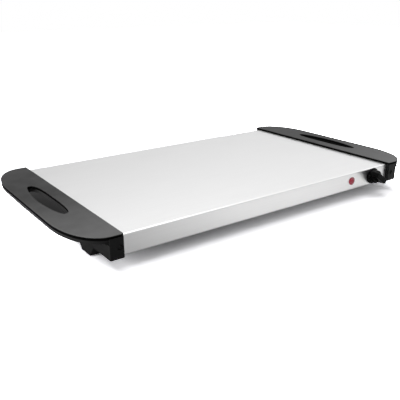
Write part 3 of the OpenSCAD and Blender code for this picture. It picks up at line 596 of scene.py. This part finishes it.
def d_outline(start=0.0, inset=0.0):
    """Anticlockwise D drawn in by inset: corners (run + a sin^(2/p) t, -v - b cos^(2/p) t)."""
    run, bulge = REACH - CORNER_U, CORNER_U - inset
    begin = math.asin((max(start + inset - run, 0) / bulge) ** (CORNER_POWER / 2))
    t = np.linspace(begin, math.pi / 2, CORNER_POINTS)
    flat = CAP_HALF - CORNER_V
    corner_u = run + bulge * np.sin(t) ** (2 / CORNER_POWER)
    corner_v = -flat - (CORNER_V - inset) * np.cos(t).clip(0) ** (2 / CORNER_POWER)
    corner = np.stack([corner_u, corner_v], axis=1)
    rim = np.linspace(-flat, flat, RIM_POINTS + 2)[1:-1]
    rim = np.stack([np.full(RIM_POINTS, REACH - inset), rim], axis=1)
    front = corner
    if start + inset < run:
        tip = max(SHARP_CORNER - inset, 0.02)
        edge = np.linspace(start + inset + tip, run, 6)[:-1]
        edge = np.stack([edge, np.full(5, inset - CAP_HALF)], axis=1)
        round_tip = arc((start + inset + tip, inset + tip - CAP_HALF), tip, 180, 270, 6)[:-1]
        front = np.concatenate([round_tip, edge, corner])
    back = front[::-1] * [1, -1]
    side = np.linspace(back[-1, 1], front[0, 1], SIDE_POINTS + 2)[1:-1]
    inner = np.stack([np.full(SIDE_POINTS, start + inset), side], axis=1)
    return np.concatenate([front, rim, back, inner])


def grip_like(outline):
    """The opening's curve with one point for each of the outline's, at the same bearing."""
    centre = np.array([GRIP_U, 0])
    away = (outline - centre) / [REACH - GRIP_U, CAP_HALF]
    t = np.arctan2(away[:, 1], away[:, 0])
    outer = np.cos(t) >= 0
    power = 2 / np.where(outer, GRIP_OUT_POWER, GRIP_IN_POWER)
    width = np.where(outer, GRIP_OUT, GRIP_IN)
    u = GRIP_U + width * np.sign(np.cos(t)) * np.abs(np.cos(t)) ** power
    v = GRIP_HALF * np.sign(np.sin(t)) * np.abs(np.sin(t)) ** power
    return np.stack([u, v], axis=1)


outline = d_outline()
grip = grip_like(outline)
print("outline:", len(outline), "points")

# %% [markdown]
# ## The handle covers
# A cover is a shallow shell with a wall at its rim and a collar round the opening. Its
# section from rim to opening is the same all the way round, so the skin is a ring carried
# over it: up the rim, over a soft edge, across the top, down the opening, and back
# underneath.
# The result closes on itself like a tyre and needs no end faces. Below its lip the cover
# is set back, and a black band fills that groove, at the rim and in the opening: painted
# shade, a black that gives back no light, standing for the dark gap under the lip.

# %% Mould a cover
RIM_ROUND, GRIP_ROUND = 0.6, 0.8
BAND_TOP = Z_HANDLE - 0.9
BAND_LOW = Z_STEEL - 0.8
BAND_SET, BAND_PROUD, BAND_ROOT = 1.0, 0.3, 0.4
COVER_SKIN, RIM_WALL, COLLAR_WALL = 2.5, 2.2, 2.0


def handle_cover(name):
    """The ring carried over the cover's section; the lip towards the steel reaches lower."""
    towards_steel = outline[:, 0] < RIM_WALL
    lip = towards_steel & (np.abs(outline[:, 1]) < HALF_DEPTH - BEND)
    bottom = np.where(lip, Z_STEEL - END_STEP, Z_STEEL)

    def outer(inset, level):
        """The rim's curve drawn in by inset."""
        return stand(d_outline(0, inset), level, "z")

    def inner(push, level):
        """The opening's curve pushed out by push."""
        return stand(pushed(grip, push), level, "z")

    rings = [outer(BAND_SET, bottom), outer(BAND_SET, np.maximum(bottom, BAND_TOP)), outer(0, BAND_TOP)]
    for inset, drop in zip(*quarter(RIM_ROUND, 7)):
        rings.append(outer(inset, Z_HANDLE - drop))
    for inset, drop in zip(*(side[::-1] for side in quarter(GRIP_ROUND, 7))):
        rings.append(inner(inset, Z_HANDLE - drop))
    rings += [inner(0, BAND_TOP), inner(BAND_SET, BAND_TOP), inner(BAND_SET, Z_STEEL)]
    rings += [inner(COLLAR_WALL, Z_STEEL), inner(COLLAR_WALL, Z_HANDLE - COVER_SKIN)]
    rings += [outer(RIM_WALL, Z_HANDLE - COVER_SKIN), outer(RIM_WALL, bottom)]
    return skin(name, np.stack(rings), looped=True)


def shade_band(name):
    """Two flat rings that fill the groove below the cover's lip, at its rim and in its opening; dressed
    later in black as painted shade.
    """
    levels = [BAND_LOW, BAND_TOP, BAND_TOP, BAND_LOW]
    insets = [BAND_PROUD, BAND_PROUD, BAND_SET + BAND_ROOT, BAND_SET + BAND_ROOT]
    rims = [stand(d_outline(0, inset), level, "z") for inset, level in zip(insets, levels)]
    mouths = [stand(pushed(grip, inset), level, "z") for inset, level in zip(insets, levels)]
    rim = skin(name, np.stack(rims), looped=True)
    mouth = skin("mouth", np.stack(mouths), looped=True)
    return boolean(rim, [mouth], "UNION")


right_cover = to_right_end(handle_cover("right_cover"))
left_cover = twin(right_cover, "left_cover")
right_shade_band = to_right_end(shade_band("right_shade_band"))
left_shade_band = twin(right_shade_band, "left_shade_band")
print("cover:", len(right_cover.data.polygons), "faces")

# %% [markdown]
# ## The end caps
# An end cap is one moulding: the lower half of the handle, a channel that the steel
# slides into, gussets where the two meet, and two legs. The lower half is a ring over a
# section again. The other parts are slabs, joined to it, and the screw recesses and the
# countersinks are cut last.

# %% Mould the lower half of a handle
CAP_W = 23
CAP_WALL = 2.5
UNDER_H, UNDER_SKIN = 6.5, 2.0
SEAM_STEP, SEAM_ROUND = 0.7, 0.4
LOW_START, FLOOR_START = 20.8, 19.8
LOW_COLLAR = 1.2
SLOT_GAP = 0.2
UNDER_ROUND = 1.2
Z_UNDER = Z_STEEL - UNDER_H


def lower_half():
    """A tray: rim, rounded under edge, flat bottom, opening, collar, floor and back to the rim."""
    shape = d_outline(LOW_START, SEAM_STEP)
    hole = grip_like(shape)

    def outer(inset, level):
        """The rim's curve drawn in by inset."""
        return stand(d_outline(LOW_START, SEAM_STEP + inset), level, "z")

    def inner(push, level):
        """The opening's curve pushed out by push."""
        return stand(pushed(hole, push), level, "z")

    rings = [outer(SEAM_ROUND, Z_STEEL), outer(0, Z_STEEL - SEAM_ROUND)]
    for inset, rise in zip(*quarter(UNDER_ROUND)):
        rings.append(outer(inset, Z_UNDER + rise))
    for inset, rise in zip(*(side[::-1] for side in quarter(UNDER_ROUND))):
        rings.append(inner(inset, Z_UNDER + rise))
    floor = d_outline(FLOOR_START, RIM_WALL)
    rings += [inner(0, Z_STEEL), inner(LOW_COLLAR, Z_STEEL), inner(LOW_COLLAR, Z_UNDER + UNDER_SKIN)]
    rings += [stand(floor, Z_UNDER + UNDER_SKIN, "z"), stand(floor, Z_STEEL, "z")]
    return skin("lower_half", np.stack(rings), looped=True)


print(f"lower half: {UNDER_H} mm high, its bottom at {Z_UNDER:.1f} mm")

# %% [markdown]
# The channel is a block that the sheet's end slides into, with a pocket behind it that
# saves plastic. At its front and back a small concave web, the gusset, stands between the
# channel and the handle's underside.

# %% Channel and gussets
WALL_ROUND = 0.9
THROUGH = 5
GUSSET = 6


def rectangle(u0, v0, u1, v1, radius=0.01):
    """An anticlockwise rectangle with rounded corners."""
    return rounded([(u0, v0), (u1, v0), (u1, v1), (u0, v1)], [radius] * 4)


def channel():
    """The block that holds the sheet's end: a rounded box with a slot and a pocket cut out."""
    base = rectangle(0, -CAP_HALF, CAP_W, CAP_HALF, WALL_ROUND)
    block = slab("channel", base, Z_SKIRT, Z_STEEL, low_round=WALL_ROUND)
    side = HALF_DEPTH + SLOT_GAP
    top = Z_STEEL + THROUGH
    slot = slab("slot", rectangle(-THROUGH, -side, TUCK + SLOT_GAP, side), Z_SKIRT - THROUGH, top)
    pocket = slab("pocket", rectangle(TUCK, -side, CAP_W - CAP_WALL, side), Z_SKIRT + CAP_WALL, top)
    return boolean(block, [slot, pocket], "DIFFERENCE")


def gusset(side):
    """The concave web outside the channel, under the handle, at the back (1) or front (-1)."""
    bow = arc((CAP_W + GUSSET, Z_UNDER - GUSSET), GUSSET, 180, 90, 12)
    inside = [[CAP_W + GUSSET, Z_UNDER + 1], [CAP_W - 1, Z_UNDER + 1], [CAP_W - 1, Z_UNDER - GUSSET]]
    curve = np.concatenate([bow, inside])[::-1]
    ends = sorted([side * (CAP_HALF - SEAM_STEP), side * HALF_DEPTH])
    return slab("gusset", curve, ends[0], ends[1], "y")


print(f"channel: {CAP_W} mm wide, {2 * CAP_HALF:.0f} mm long")

# %% [markdown]
# A leg is a short trapezoid with its wide side up. It is hollow towards the middle of the
# tray, as a moulding with even walls has to be, and its lower corners are the softest.

# %% Legs
LEG_FRONT, LEG_FOOT, LEG_SLOPE = 71, 30, 14
LEG_ROUND, LEG_INNER_ROUND = 1.2, 0.5
LEG_LOW = 0.5
LEG_SKIN = 2.0


def leg(side):
    """A leg with sloping ends, hollow inside, at the back (1) or front (-1)."""
    front = CAP_HALF - LEG_FRONT
    back = front - LEG_FOOT
    low, high = LEG_LOW, Z_SKIRT + 1
    rise = (high - low) / (Z_SKIRT - low) * LEG_SLOPE
    shape = [(back, low), (front, low), (front + rise, high), (back - rise, high)]
    curve = rounded(shape, [LEG_ROUND, LEG_ROUND, 0.1, 0.1])
    solid = slab("leg", curve, 0, CAP_W, "x", LEG_INNER_ROUND, WALL_ROUND)
    roof = Z_SKIRT - LEG_SKIN
    inner_rise = (roof - low - LEG_SKIN) / (Z_SKIRT - low) * LEG_SLOPE
    inner = [
        (back + CAP_WALL, low + LEG_SKIN),
        (front - CAP_WALL, low + LEG_SKIN),
        (front - CAP_WALL + inner_rise, roof),
        (back + CAP_WALL - inner_rise, roof),
    ]
    hollow = slab("hollow", rounded(inner, [1.0] * 4), -THROUGH, CAP_W - CAP_WALL, "x")
    made = boolean(solid, [hollow], "DIFFERENCE")
    return made if side > 0 else transformed(made, Matrix.Diagonal((1, -1, 1, 1)))


print(f"leg: {LEG_FOOT} mm long at the foot, {Z_SKIRT - LEG_LOW:.1f} mm high")

# %% [markdown]
# Each end of the channel has a round recess for a screw, and the handle's underside has
# four countersinks. They are turned cutters, so a soft mouth costs only a few more points
# in a profile. A painted ring would look flat from the side.

# %% Recesses and the whole cap
RECESS_U, RECESS_DROP, RECESS_R, RECESS_DEPTH = 6.5, 16, 4.3, 3.5
RECESS_LIP, RECESS_ROOT = 0.6, 0.4
SCREW_HOLE, SCREW_HOLE_END = 2.1, 12
HANDLE_SCREWS = [(60, 72), (30, 140)]
COUNTERSINK = [(3.0, -1), (3.0, 0), (1.7, 1.4), (1.7, 4)]


def recess(side):
    """The cutter of a screw's round recess, with a soft mouth and the hole behind it."""
    lip, root = RECESS_LIP, RECESS_ROOT
    a = np.radians(np.linspace(90, 0, 6))
    profile = [(RECESS_R + lip, 3)]
    profile += [(RECESS_R + lip * (1 - math.cos(x)), -lip * (1 - math.sin(x))) for x in a]
    profile += [(RECESS_R, -RECESS_DEPTH + root), (RECESS_R - root, -RECESS_DEPTH)]
    profile += [(SCREW_HOLE, -RECESS_DEPTH), (SCREW_HOLE, -SCREW_HOLE_END)]
    cut = turned("recess", profile, 48)
    upright = Matrix.Rotation(math.radians(90 if side < 0 else -90), 4, "X")
    return transformed(cut, from_mm(RECESS_U, side * CAP_HALF, Z_STEEL - RECESS_DROP) @ upright)


def end_cap(name):
    """Joins the parts of the moulding, then cuts the recesses and the countersinks."""
    body = lower_half()
    body.name = name
    parts = [channel()] + [make(side) for side in (-1, 1) for make in (gusset, leg)]
    boolean(body, parts, "UNION")
    cuts = [recess(side) for side in (-1, 1)]
    for u, v in HANDLE_SCREWS:
        for side in (-1, 1):
            sink = turned("sink", COUNTERSINK, 32)
            cuts.append(transformed(sink, from_mm(u, side * v, Z_UNDER)))
    return boolean(body, cuts, "DIFFERENCE")


right_cap = to_right_end(end_cap("right_cap"))
left_cap = twin(right_cap, "left_cap")
print("end cap:", len(right_cap.data.polygons), "faces")

# %% [markdown]
# ## The knob
# The knob is turned and moulded: a skirt that hides the fixing nut, a round body, and a
# bar across it for the fingers. The bar narrows towards its tip, and it reaches past the
# round body at both ends. The body is turned and the bar joined to it, which keeps the
# crease between them that a single smooth surface would lose.

# %% Turn the knob
knob_low, knob_high = box_mm("knob")
KNOB_R = (knob_high[2] - knob_low[2]) / 2
KNOB_LEN = knob_high[1] - knob_low[1]
KNOB_X = (knob_high[0] + knob_low[0]) / 2
KNOB_Z = (knob_high[2] + knob_low[2]) / 2
KNOB_BACK = knob_high[1]
SKIRT_T, BODY_T = 3.0, 13.0
FACE_IN, RIM_R, CROWN_R = 3, 1.0, 2.0
BAR_ROOT, BAR_CORNER = 4, 3.4
BAR_W, BAR_REACH, BAR_TURN = 12.5, 18, 55


def knob_body():
    """Radius against height: a skirt with a soft rim, a neck, and a crowned face."""
    face = KNOB_R - FACE_IN
    rim = arc((KNOB_R - RIM_R, SKIRT_T - RIM_R), RIM_R, 0, 90, 6)
    neck = [(KNOB_R - 2.0, SKIRT_T + 0.3), (KNOB_R - 2.4, SKIRT_T + 1.2)]
    crown = arc((face - CROWN_R, BODY_T - CROWN_R), CROWN_R, 8, 90, 7)
    profile = [(KNOB_R - 0.3, 0), (KNOB_R, 0.3), *rim, *neck, *crown, (0.5, BODY_T)]
    return turned("knob_face", profile, 128)


def knob_bar():
    """The finger bar: a rounded blade whose section narrows from the body to the tip."""
    below_tip = KNOB_LEN - np.array([2.0, 0.9, 0.25, 0])
    levels = np.array([BODY_T - BAR_ROOT, BODY_T + 2, *below_tip])
    widths = BAR_W / 2 - np.array([0, 0.3, 1.0, 1.25, 1.7, 2.4])
    lengths = BAR_REACH - np.array([0, 0.1, 0.5, 0.8, 1.3, 2.0])
    rings = []
    for level, w, long in zip(levels, widths, lengths):
        corner = min(w * 0.9, BAR_CORNER)
        shape = rounded([(-w, -long), (w, -long), (w, long), (-w, long)], [corner] * 4, 8)
        rings.append(stand(shape, level, "z"))
    bar = skin("bar", np.stack(rings))
    return transformed(bar, Matrix.Rotation(math.radians(BAR_TURN), 4, "Z"))


knob = boolean(knob_body(), [knob_bar()], "UNION")
knob.name = "control_knob"
out_of_front = Matrix.Rotation(math.radians(90), 4, "X")
transformed(knob, from_mm(KNOB_X, KNOB_BACK, KNOB_Z) @ out_of_front)
print("knob:", len(knob.data.polygons), "faces")

# %% [markdown]
# ## The pilot lamp
# The lens is a low dome of red plastic with a rim. Shallow flutes break up the light of
# the bulb behind it. They are a ripple in the dome's own height, and so real shape, and
# not a bump that only the shading knows.

# %% Mould the lens
lens_low, lens_high = box_mm("lamp_lens")
LENS_R = (lens_high[0] - lens_low[0]) / 2
LENS_RISE = lens_high[1] - lens_low[1]
LENS_RIM, LENS_RIM_T, DOME_SUNK = 0.9, 1.2, 0.3
FLUTES, FLUTE_DEPTH = 16, 0.12


def lens():
    """Height over radius r: rim, then dome h (1 - (r/R)^2) with sixteen shallow flutes."""
    inner = LENS_R - LENS_RIM
    r = np.linspace(1, 0.04, 24) * inner
    a = np.linspace(0, 2 * math.pi, 128, endpoint=False)
    dome = LENS_RIM_T - DOME_SUNK + (LENS_RISE - LENS_RIM_T + DOME_SUNK) * (1 - (r / inner) ** 2)
    rim = arc((LENS_R - LENS_RIM / 2, LENS_RIM_T - LENS_RIM / 2), LENS_RIM / 2, 0, 180, 9)
    radii = np.concatenate([[LENS_R], rim[:, 0], r])
    heights = np.concatenate([[0], rim[:, 1], dome])
    rings = np.zeros((len(radii), len(a), 3))
    rings[..., 0] = radii[:, None] * np.cos(a)
    rings[..., 1] = radii[:, None] * np.sin(a)
    on_dome = np.clip(radii / inner, 0, 1) * (heights > LENS_RIM_T)
    flute = FLUTE_DEPTH * np.cos(FLUTES * a)[None, :] * on_dome[:, None]
    rings[..., 2] = heights[:, None] + flute
    return skin("pilot_lens", rings)


pilot_lens = lens()
LENS_X, LENS_Z = (lens_high[0] + lens_low[0]) / 2, (lens_high[2] + lens_low[2]) / 2
transformed(pilot_lens, from_mm(LENS_X, lens_high[1], LENS_Z) @ out_of_front)
print("lens:", len(pilot_lens.data.polygons), "faces")

# %% [markdown]
# ## Finishes
# Each finish is a small tree of nodes on a Principled shader. A noise pattern, stretched
# along the way a surface was made, feeds colour, roughness and bump together, so that a
# streak of the brushing is at once paler, rougher and a little higher.

# %% Tools for finishes
def new_finish(name, **values):
    """A material whose Principled shader has the constant values given."""
    made = bpy.data.materials.new(name)
    made.use_nodes = True
    shader = made.node_tree.nodes["Principled BSDF"]
    for socket, value in values.items():
        shader.inputs[socket.replace("_", " ")].default_value = value
    return made


def pattern(finish, scale, stretch=(1, 1, 1), detail=4.0, kind="ShaderNodeTexNoise"):
    """Noise or cells on the object's own coordinates, stretched along its axes."""
    tree = finish.node_tree
    coords = tree.nodes.new("ShaderNodeTexCoord")
    mapping = tree.nodes.new("ShaderNodeMapping")
    mapping.inputs["Scale"].default_value = stretch
    texture = tree.nodes.new(kind)
    texture.inputs["Scale"].default_value = scale
    if "Detail" in texture.inputs:
        texture.inputs["Detail"].default_value = detail
    tree.links.new(coords.outputs["Object"], mapping.inputs["Vector"])
    tree.links.new(mapping.outputs[0], texture.inputs["Vector"])
    return texture.outputs[0]


def colour_by(finish, source, stops):
    """Base colour from a pattern, through a ramp of stops."""
    tree = finish.node_tree
    tree.links.new(ramp(tree, source, stops), tree.nodes["Principled BSDF"].inputs["Base Color"])


def rough_by(finish, source, low, high):
    """Roughness from low to high over the pattern's middle range."""
    tree = finish.node_tree
    spread = add_node(tree, "ShaderNodeMapRange", From_Min=0.3, From_Max=0.7, To_Min=low, To_Max=high)
    tree.links.new(source, spread.inputs["Value"])
    tree.links.new(spread.outputs[0], tree.nodes["Principled BSDF"].inputs["Roughness"])


def relief(finish, source, depth_mm, strength=1.0):
    """Bump of a depth in millimetres, on top of any bump that the finish has already."""
    tree = finish.node_tree
    shader = tree.nodes["Principled BSDF"]
    bump = add_node(tree, "ShaderNodeBump", Strength=strength, Distance=depth_mm * MM)
    tree.links.new(source, bump.inputs["Height"])
    if shader.inputs["Normal"].is_linked:
        tree.links.new(shader.inputs["Normal"].links[0].from_socket, bump.inputs["Normal"])
    tree.links.new(bump.outputs[0], shader.inputs["Normal"])


print("finish tools: pattern, colour, roughness, relief")

# %% [markdown]
# The steel is brushed along its length, so its pattern is stretched a hundredfold that
# way. A second, broad pattern gives the very slight unevenness of a large thin sheet.

# %% Metals
def brushed_steel(name, tone=0.83):
    """Stainless sheet brushed along X."""
    made = new_finish(name, Metallic=1.0)
    streaks = pattern(made, 1400, (0.008, 1, 1), 3)
    colour_by(made, streaks, [(0.3, tone * 0.98), (0.7, tone * 1.02)])
    rough_by(made, streaks, 0.30, 0.36)
    relief(made, streaks, 0.01, 0.2)
    relief(made, pattern(made, 5, (0.6, 1, 1), 2), 0.6, 0.03)
    return made


def plated(name, tone, roughness, tint=(1, 1, 1)):
    """Zinc or bright metal: mottled a little, with a fine uneven surface."""
    made = new_finish(name, Metallic=1.0)
    spots = pattern(made, 260, detail=5)
    low, high = [tuple(tone * share * c for c in tint) for share in (0.86, 1.08)]
    colour_by(made, spots, [(0.35, low), (0.65, high)])
    rough_by(made, spots, roughness * 0.8, roughness * 1.25)
    relief(made, pattern(made, 1500, detail=2), 0.02, 0.2)
    return made


def galvanised(name):
    """Zinc-coated sheet: large flat crystals of slightly different greys."""
    made = new_finish(name, Metallic=0.9)
    crystals = pattern(made, 90, kind="ShaderNodeTexVoronoi")
    colour_by(made, crystals, [(0.0, 0.42), (0.5, 0.5), (1.0, 0.58)])
    rough_by(made, crystals, 0.38, 0.55)
    relief(made, pattern(made, 400, detail=3), 0.03, 0.2)
    return made


print("metals: brushed, plated, galvanised")

# %% [markdown]
# The mouldings are even in colour, and only a fine grain from the mould breaks their
# shine. The handles are paler towards the front, and that light is painted: their tone
# is graded over the depth, because one more lamp for them would change the steel too.
# Leads, sleeves and the lamp get a plain colour with a slight mottle.

# %% Plastics, rubber and the rest
def moulded(name, tone, roughness, grain=0.03, specular=0.5, **values):
    """Moulded plastic: an even fine grain from the mould, and faint cloudiness."""
    made = new_finish(name, Specular_IOR_Level=specular, **values)
    cloud = pattern(made, 40, detail=6)
    colour_by(made, cloud, [(0.3, tone * 0.85), (0.7, tone * 1.15)])
    rough_by(made, cloud, roughness * 0.92, roughness * 1.08)
    relief(made, pattern(made, 2600, detail=2), grain, 0.5)
    return made


PAINTED_LIGHT_BACK_Y, PAINTED_LIGHT_FRONT_Y, CLOUD_SHARE = 0.02, -0.2, 0.4


def painted_light_graded(name, back, front, roughness, specular):
    """Moulded satin plastic with a random mottle and painted light: its tone rises from back to front
    over the object's Y.
    """
    made = moulded(name, back, roughness, specular=specular)
    tree = made.node_tree
    along = over_axis(tree, "Y", PAINTED_LIGHT_BACK_Y, PAINTED_LIGHT_FRONT_Y, 0, 1 - CLOUD_SHARE)
    both = add_node(tree, "ShaderNodeMath")
    both.operation = "MULTIPLY_ADD"
    both.inputs[1].default_value = CLOUD_SHARE
    tree.links.new(pattern(made, 40, detail=6), both.inputs[0])
    tree.links.new(along, both.inputs[2])
    colour_by(made, both.outputs[0], [(0.15, back), (0.85, front)])
    return made


def coloured(name, rgb, roughness, mottle=0.12, **values):
    """A plain coloured piece with a slight mottle and a fine surface."""
    made = new_finish(name, **values)
    cloud = pattern(made, 120, detail=5)
    low, high = [tuple(min(1.0, c * share) for c in rgb) for share in (1 - mottle, 1 + mottle)]
    colour_by(made, cloud, [(0.3, low), (0.7, high)])
    rough_by(made, cloud, roughness * 0.85, roughness * 1.15)
    relief(made, pattern(made, 1800, detail=2), 0.02, 0.3)
    return made


def glass_wool(name):
    """Needled mat: short pale fibres that lie along Y."""
    made = new_finish(name, Sheen_Weight=0.3)
    fibres = pattern(made, 300, (1, 0.15, 1), 8)
    colour_by(made, fibres, [(0.3, (0.66, 0.6, 0.44)), (0.7, (0.9, 0.87, 0.76))])
    rough_by(made, fibres, 0.85, 0.98)
    relief(made, fibres, 0.6, 0.6)
    return made


print("plastics: moulded, graded, coloured, and the mat's glass wool")

# %% [markdown]
# Every slot of the record gets its finish here, and the solid model's own pieces take
# theirs from the slot that the record gives them, inner pieces included.

# %% Finish for each slot
FINISHES = {
    "steel_top": brushed_steel("steel_top"),
    "galvanised_base": galvanised("galvanised_base"),
    "black_plastic": moulded("black_plastic", 0.009, 0.34, specular=0.1),
    # Painted light: the handle covers' tone is paler towards the front.
    "grey_black_plastic": painted_light_graded("grey_black_plastic", 0.016, 0.11, 0.40, 0.1),
    "knob_plastic": moulded("knob_plastic", 0.0015, 0.2, grain=0.005, specular=0.04),
    # This black gives back no light at all, and on the handle bands it is painted shade.
    "rubber_pad": moulded("rubber_pad", 0.002, 0.9, specular=0.0, IOR=1.0),
    "zinc_steel": plated("zinc_steel", 0.6, 0.3),
    "blackened_steel": plated("blackened_steel", 0.03, 0.45),
    "aluminium_sheet": plated("aluminium_sheet", 0.75, 0.35),
    "silicone_cable": coloured("silicone_cable", (0.42, 0.1, 0.06), 0.5),
    "glass_wool": glass_wool("glass_wool"),
    "brass": plated("brass", 0.75, 0.3, (1, 0.76, 0.36)),
    "ceramic_white": coloured("ceramic_white", (0.8, 0.78, 0.74), 0.35),
    "copper_strip": plated("copper_strip", 0.8, 0.3, (1, 0.6, 0.4)),
    "lamp_red": coloured("lamp_red", (0.32, 0.012, 0.035), 0.16, Coat_Weight=0.5),
    "neon_glass": coloured("neon_glass", (0.8, 0.4, 0.25), 0.1, Transmission_Weight=0.6),
    "lead_brown": coloured("lead_brown", (0.2, 0.08, 0.03), 0.45),
    "lead_blue": coloured("lead_blue", (0.03, 0.1, 0.45), 0.45),
    "lead_green": coloured("lead_green", (0.2, 0.45, 0.06), 0.45),
    "lead_red": coloured("lead_red", (0.45, 0.04, 0.03), 0.45),
}
slot_of = {part["node"]: part["material_slot"] for part in frame["record"]["subparts"]}


def dress(piece, slot_name):
    """Gives a piece the finish of a slot, in place of whatever it had."""
    piece.data.materials.clear()
    piece.data.materials.append(FINISHES[slot_name])


for node_name, node_object in frame["nodes"].items():
    for holder in node_object.material_slots:
        holder.material = FINISHES[slot_of[node_name]]
print("finishes:", len(FINISHES), "on", len(frame["nodes"]), "nodes")

# %% [markdown]
# ## Hanging the pieces on the frame
# A new piece says which node it stands for, which body it moves with, and which slot its
# finish comes from.

# %% Put the pieces in place
PIECES = [
    (hot_plate, "top_shell", "tray"),
    (right_cover, "right_handle_cover", "tray"),
    (left_cover, "left_handle_cover", "tray"),
    (right_shade_band, "right_handle_cover", "tray"),
    (left_shade_band, "left_handle_cover", "tray"),
    (right_cap, "right_end_cap", "tray"),
    (left_cap, "left_end_cap", "tray"),
    (pilot_lens, "lamp_lens", "tray"),
    (knob, "knob", "control"),
]
# Painted shade: the two bands take the black rubber finish, which gives back no light.
for piece, node_name, body in PIECES:
    finish = "rubber_pad" if piece in (right_shade_band, left_shade_band) else slot_of[node_name]
    soften(piece)
    dress(piece, finish)
    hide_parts(node_name)
    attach(piece, body)
print("pieces:", len(PIECES))
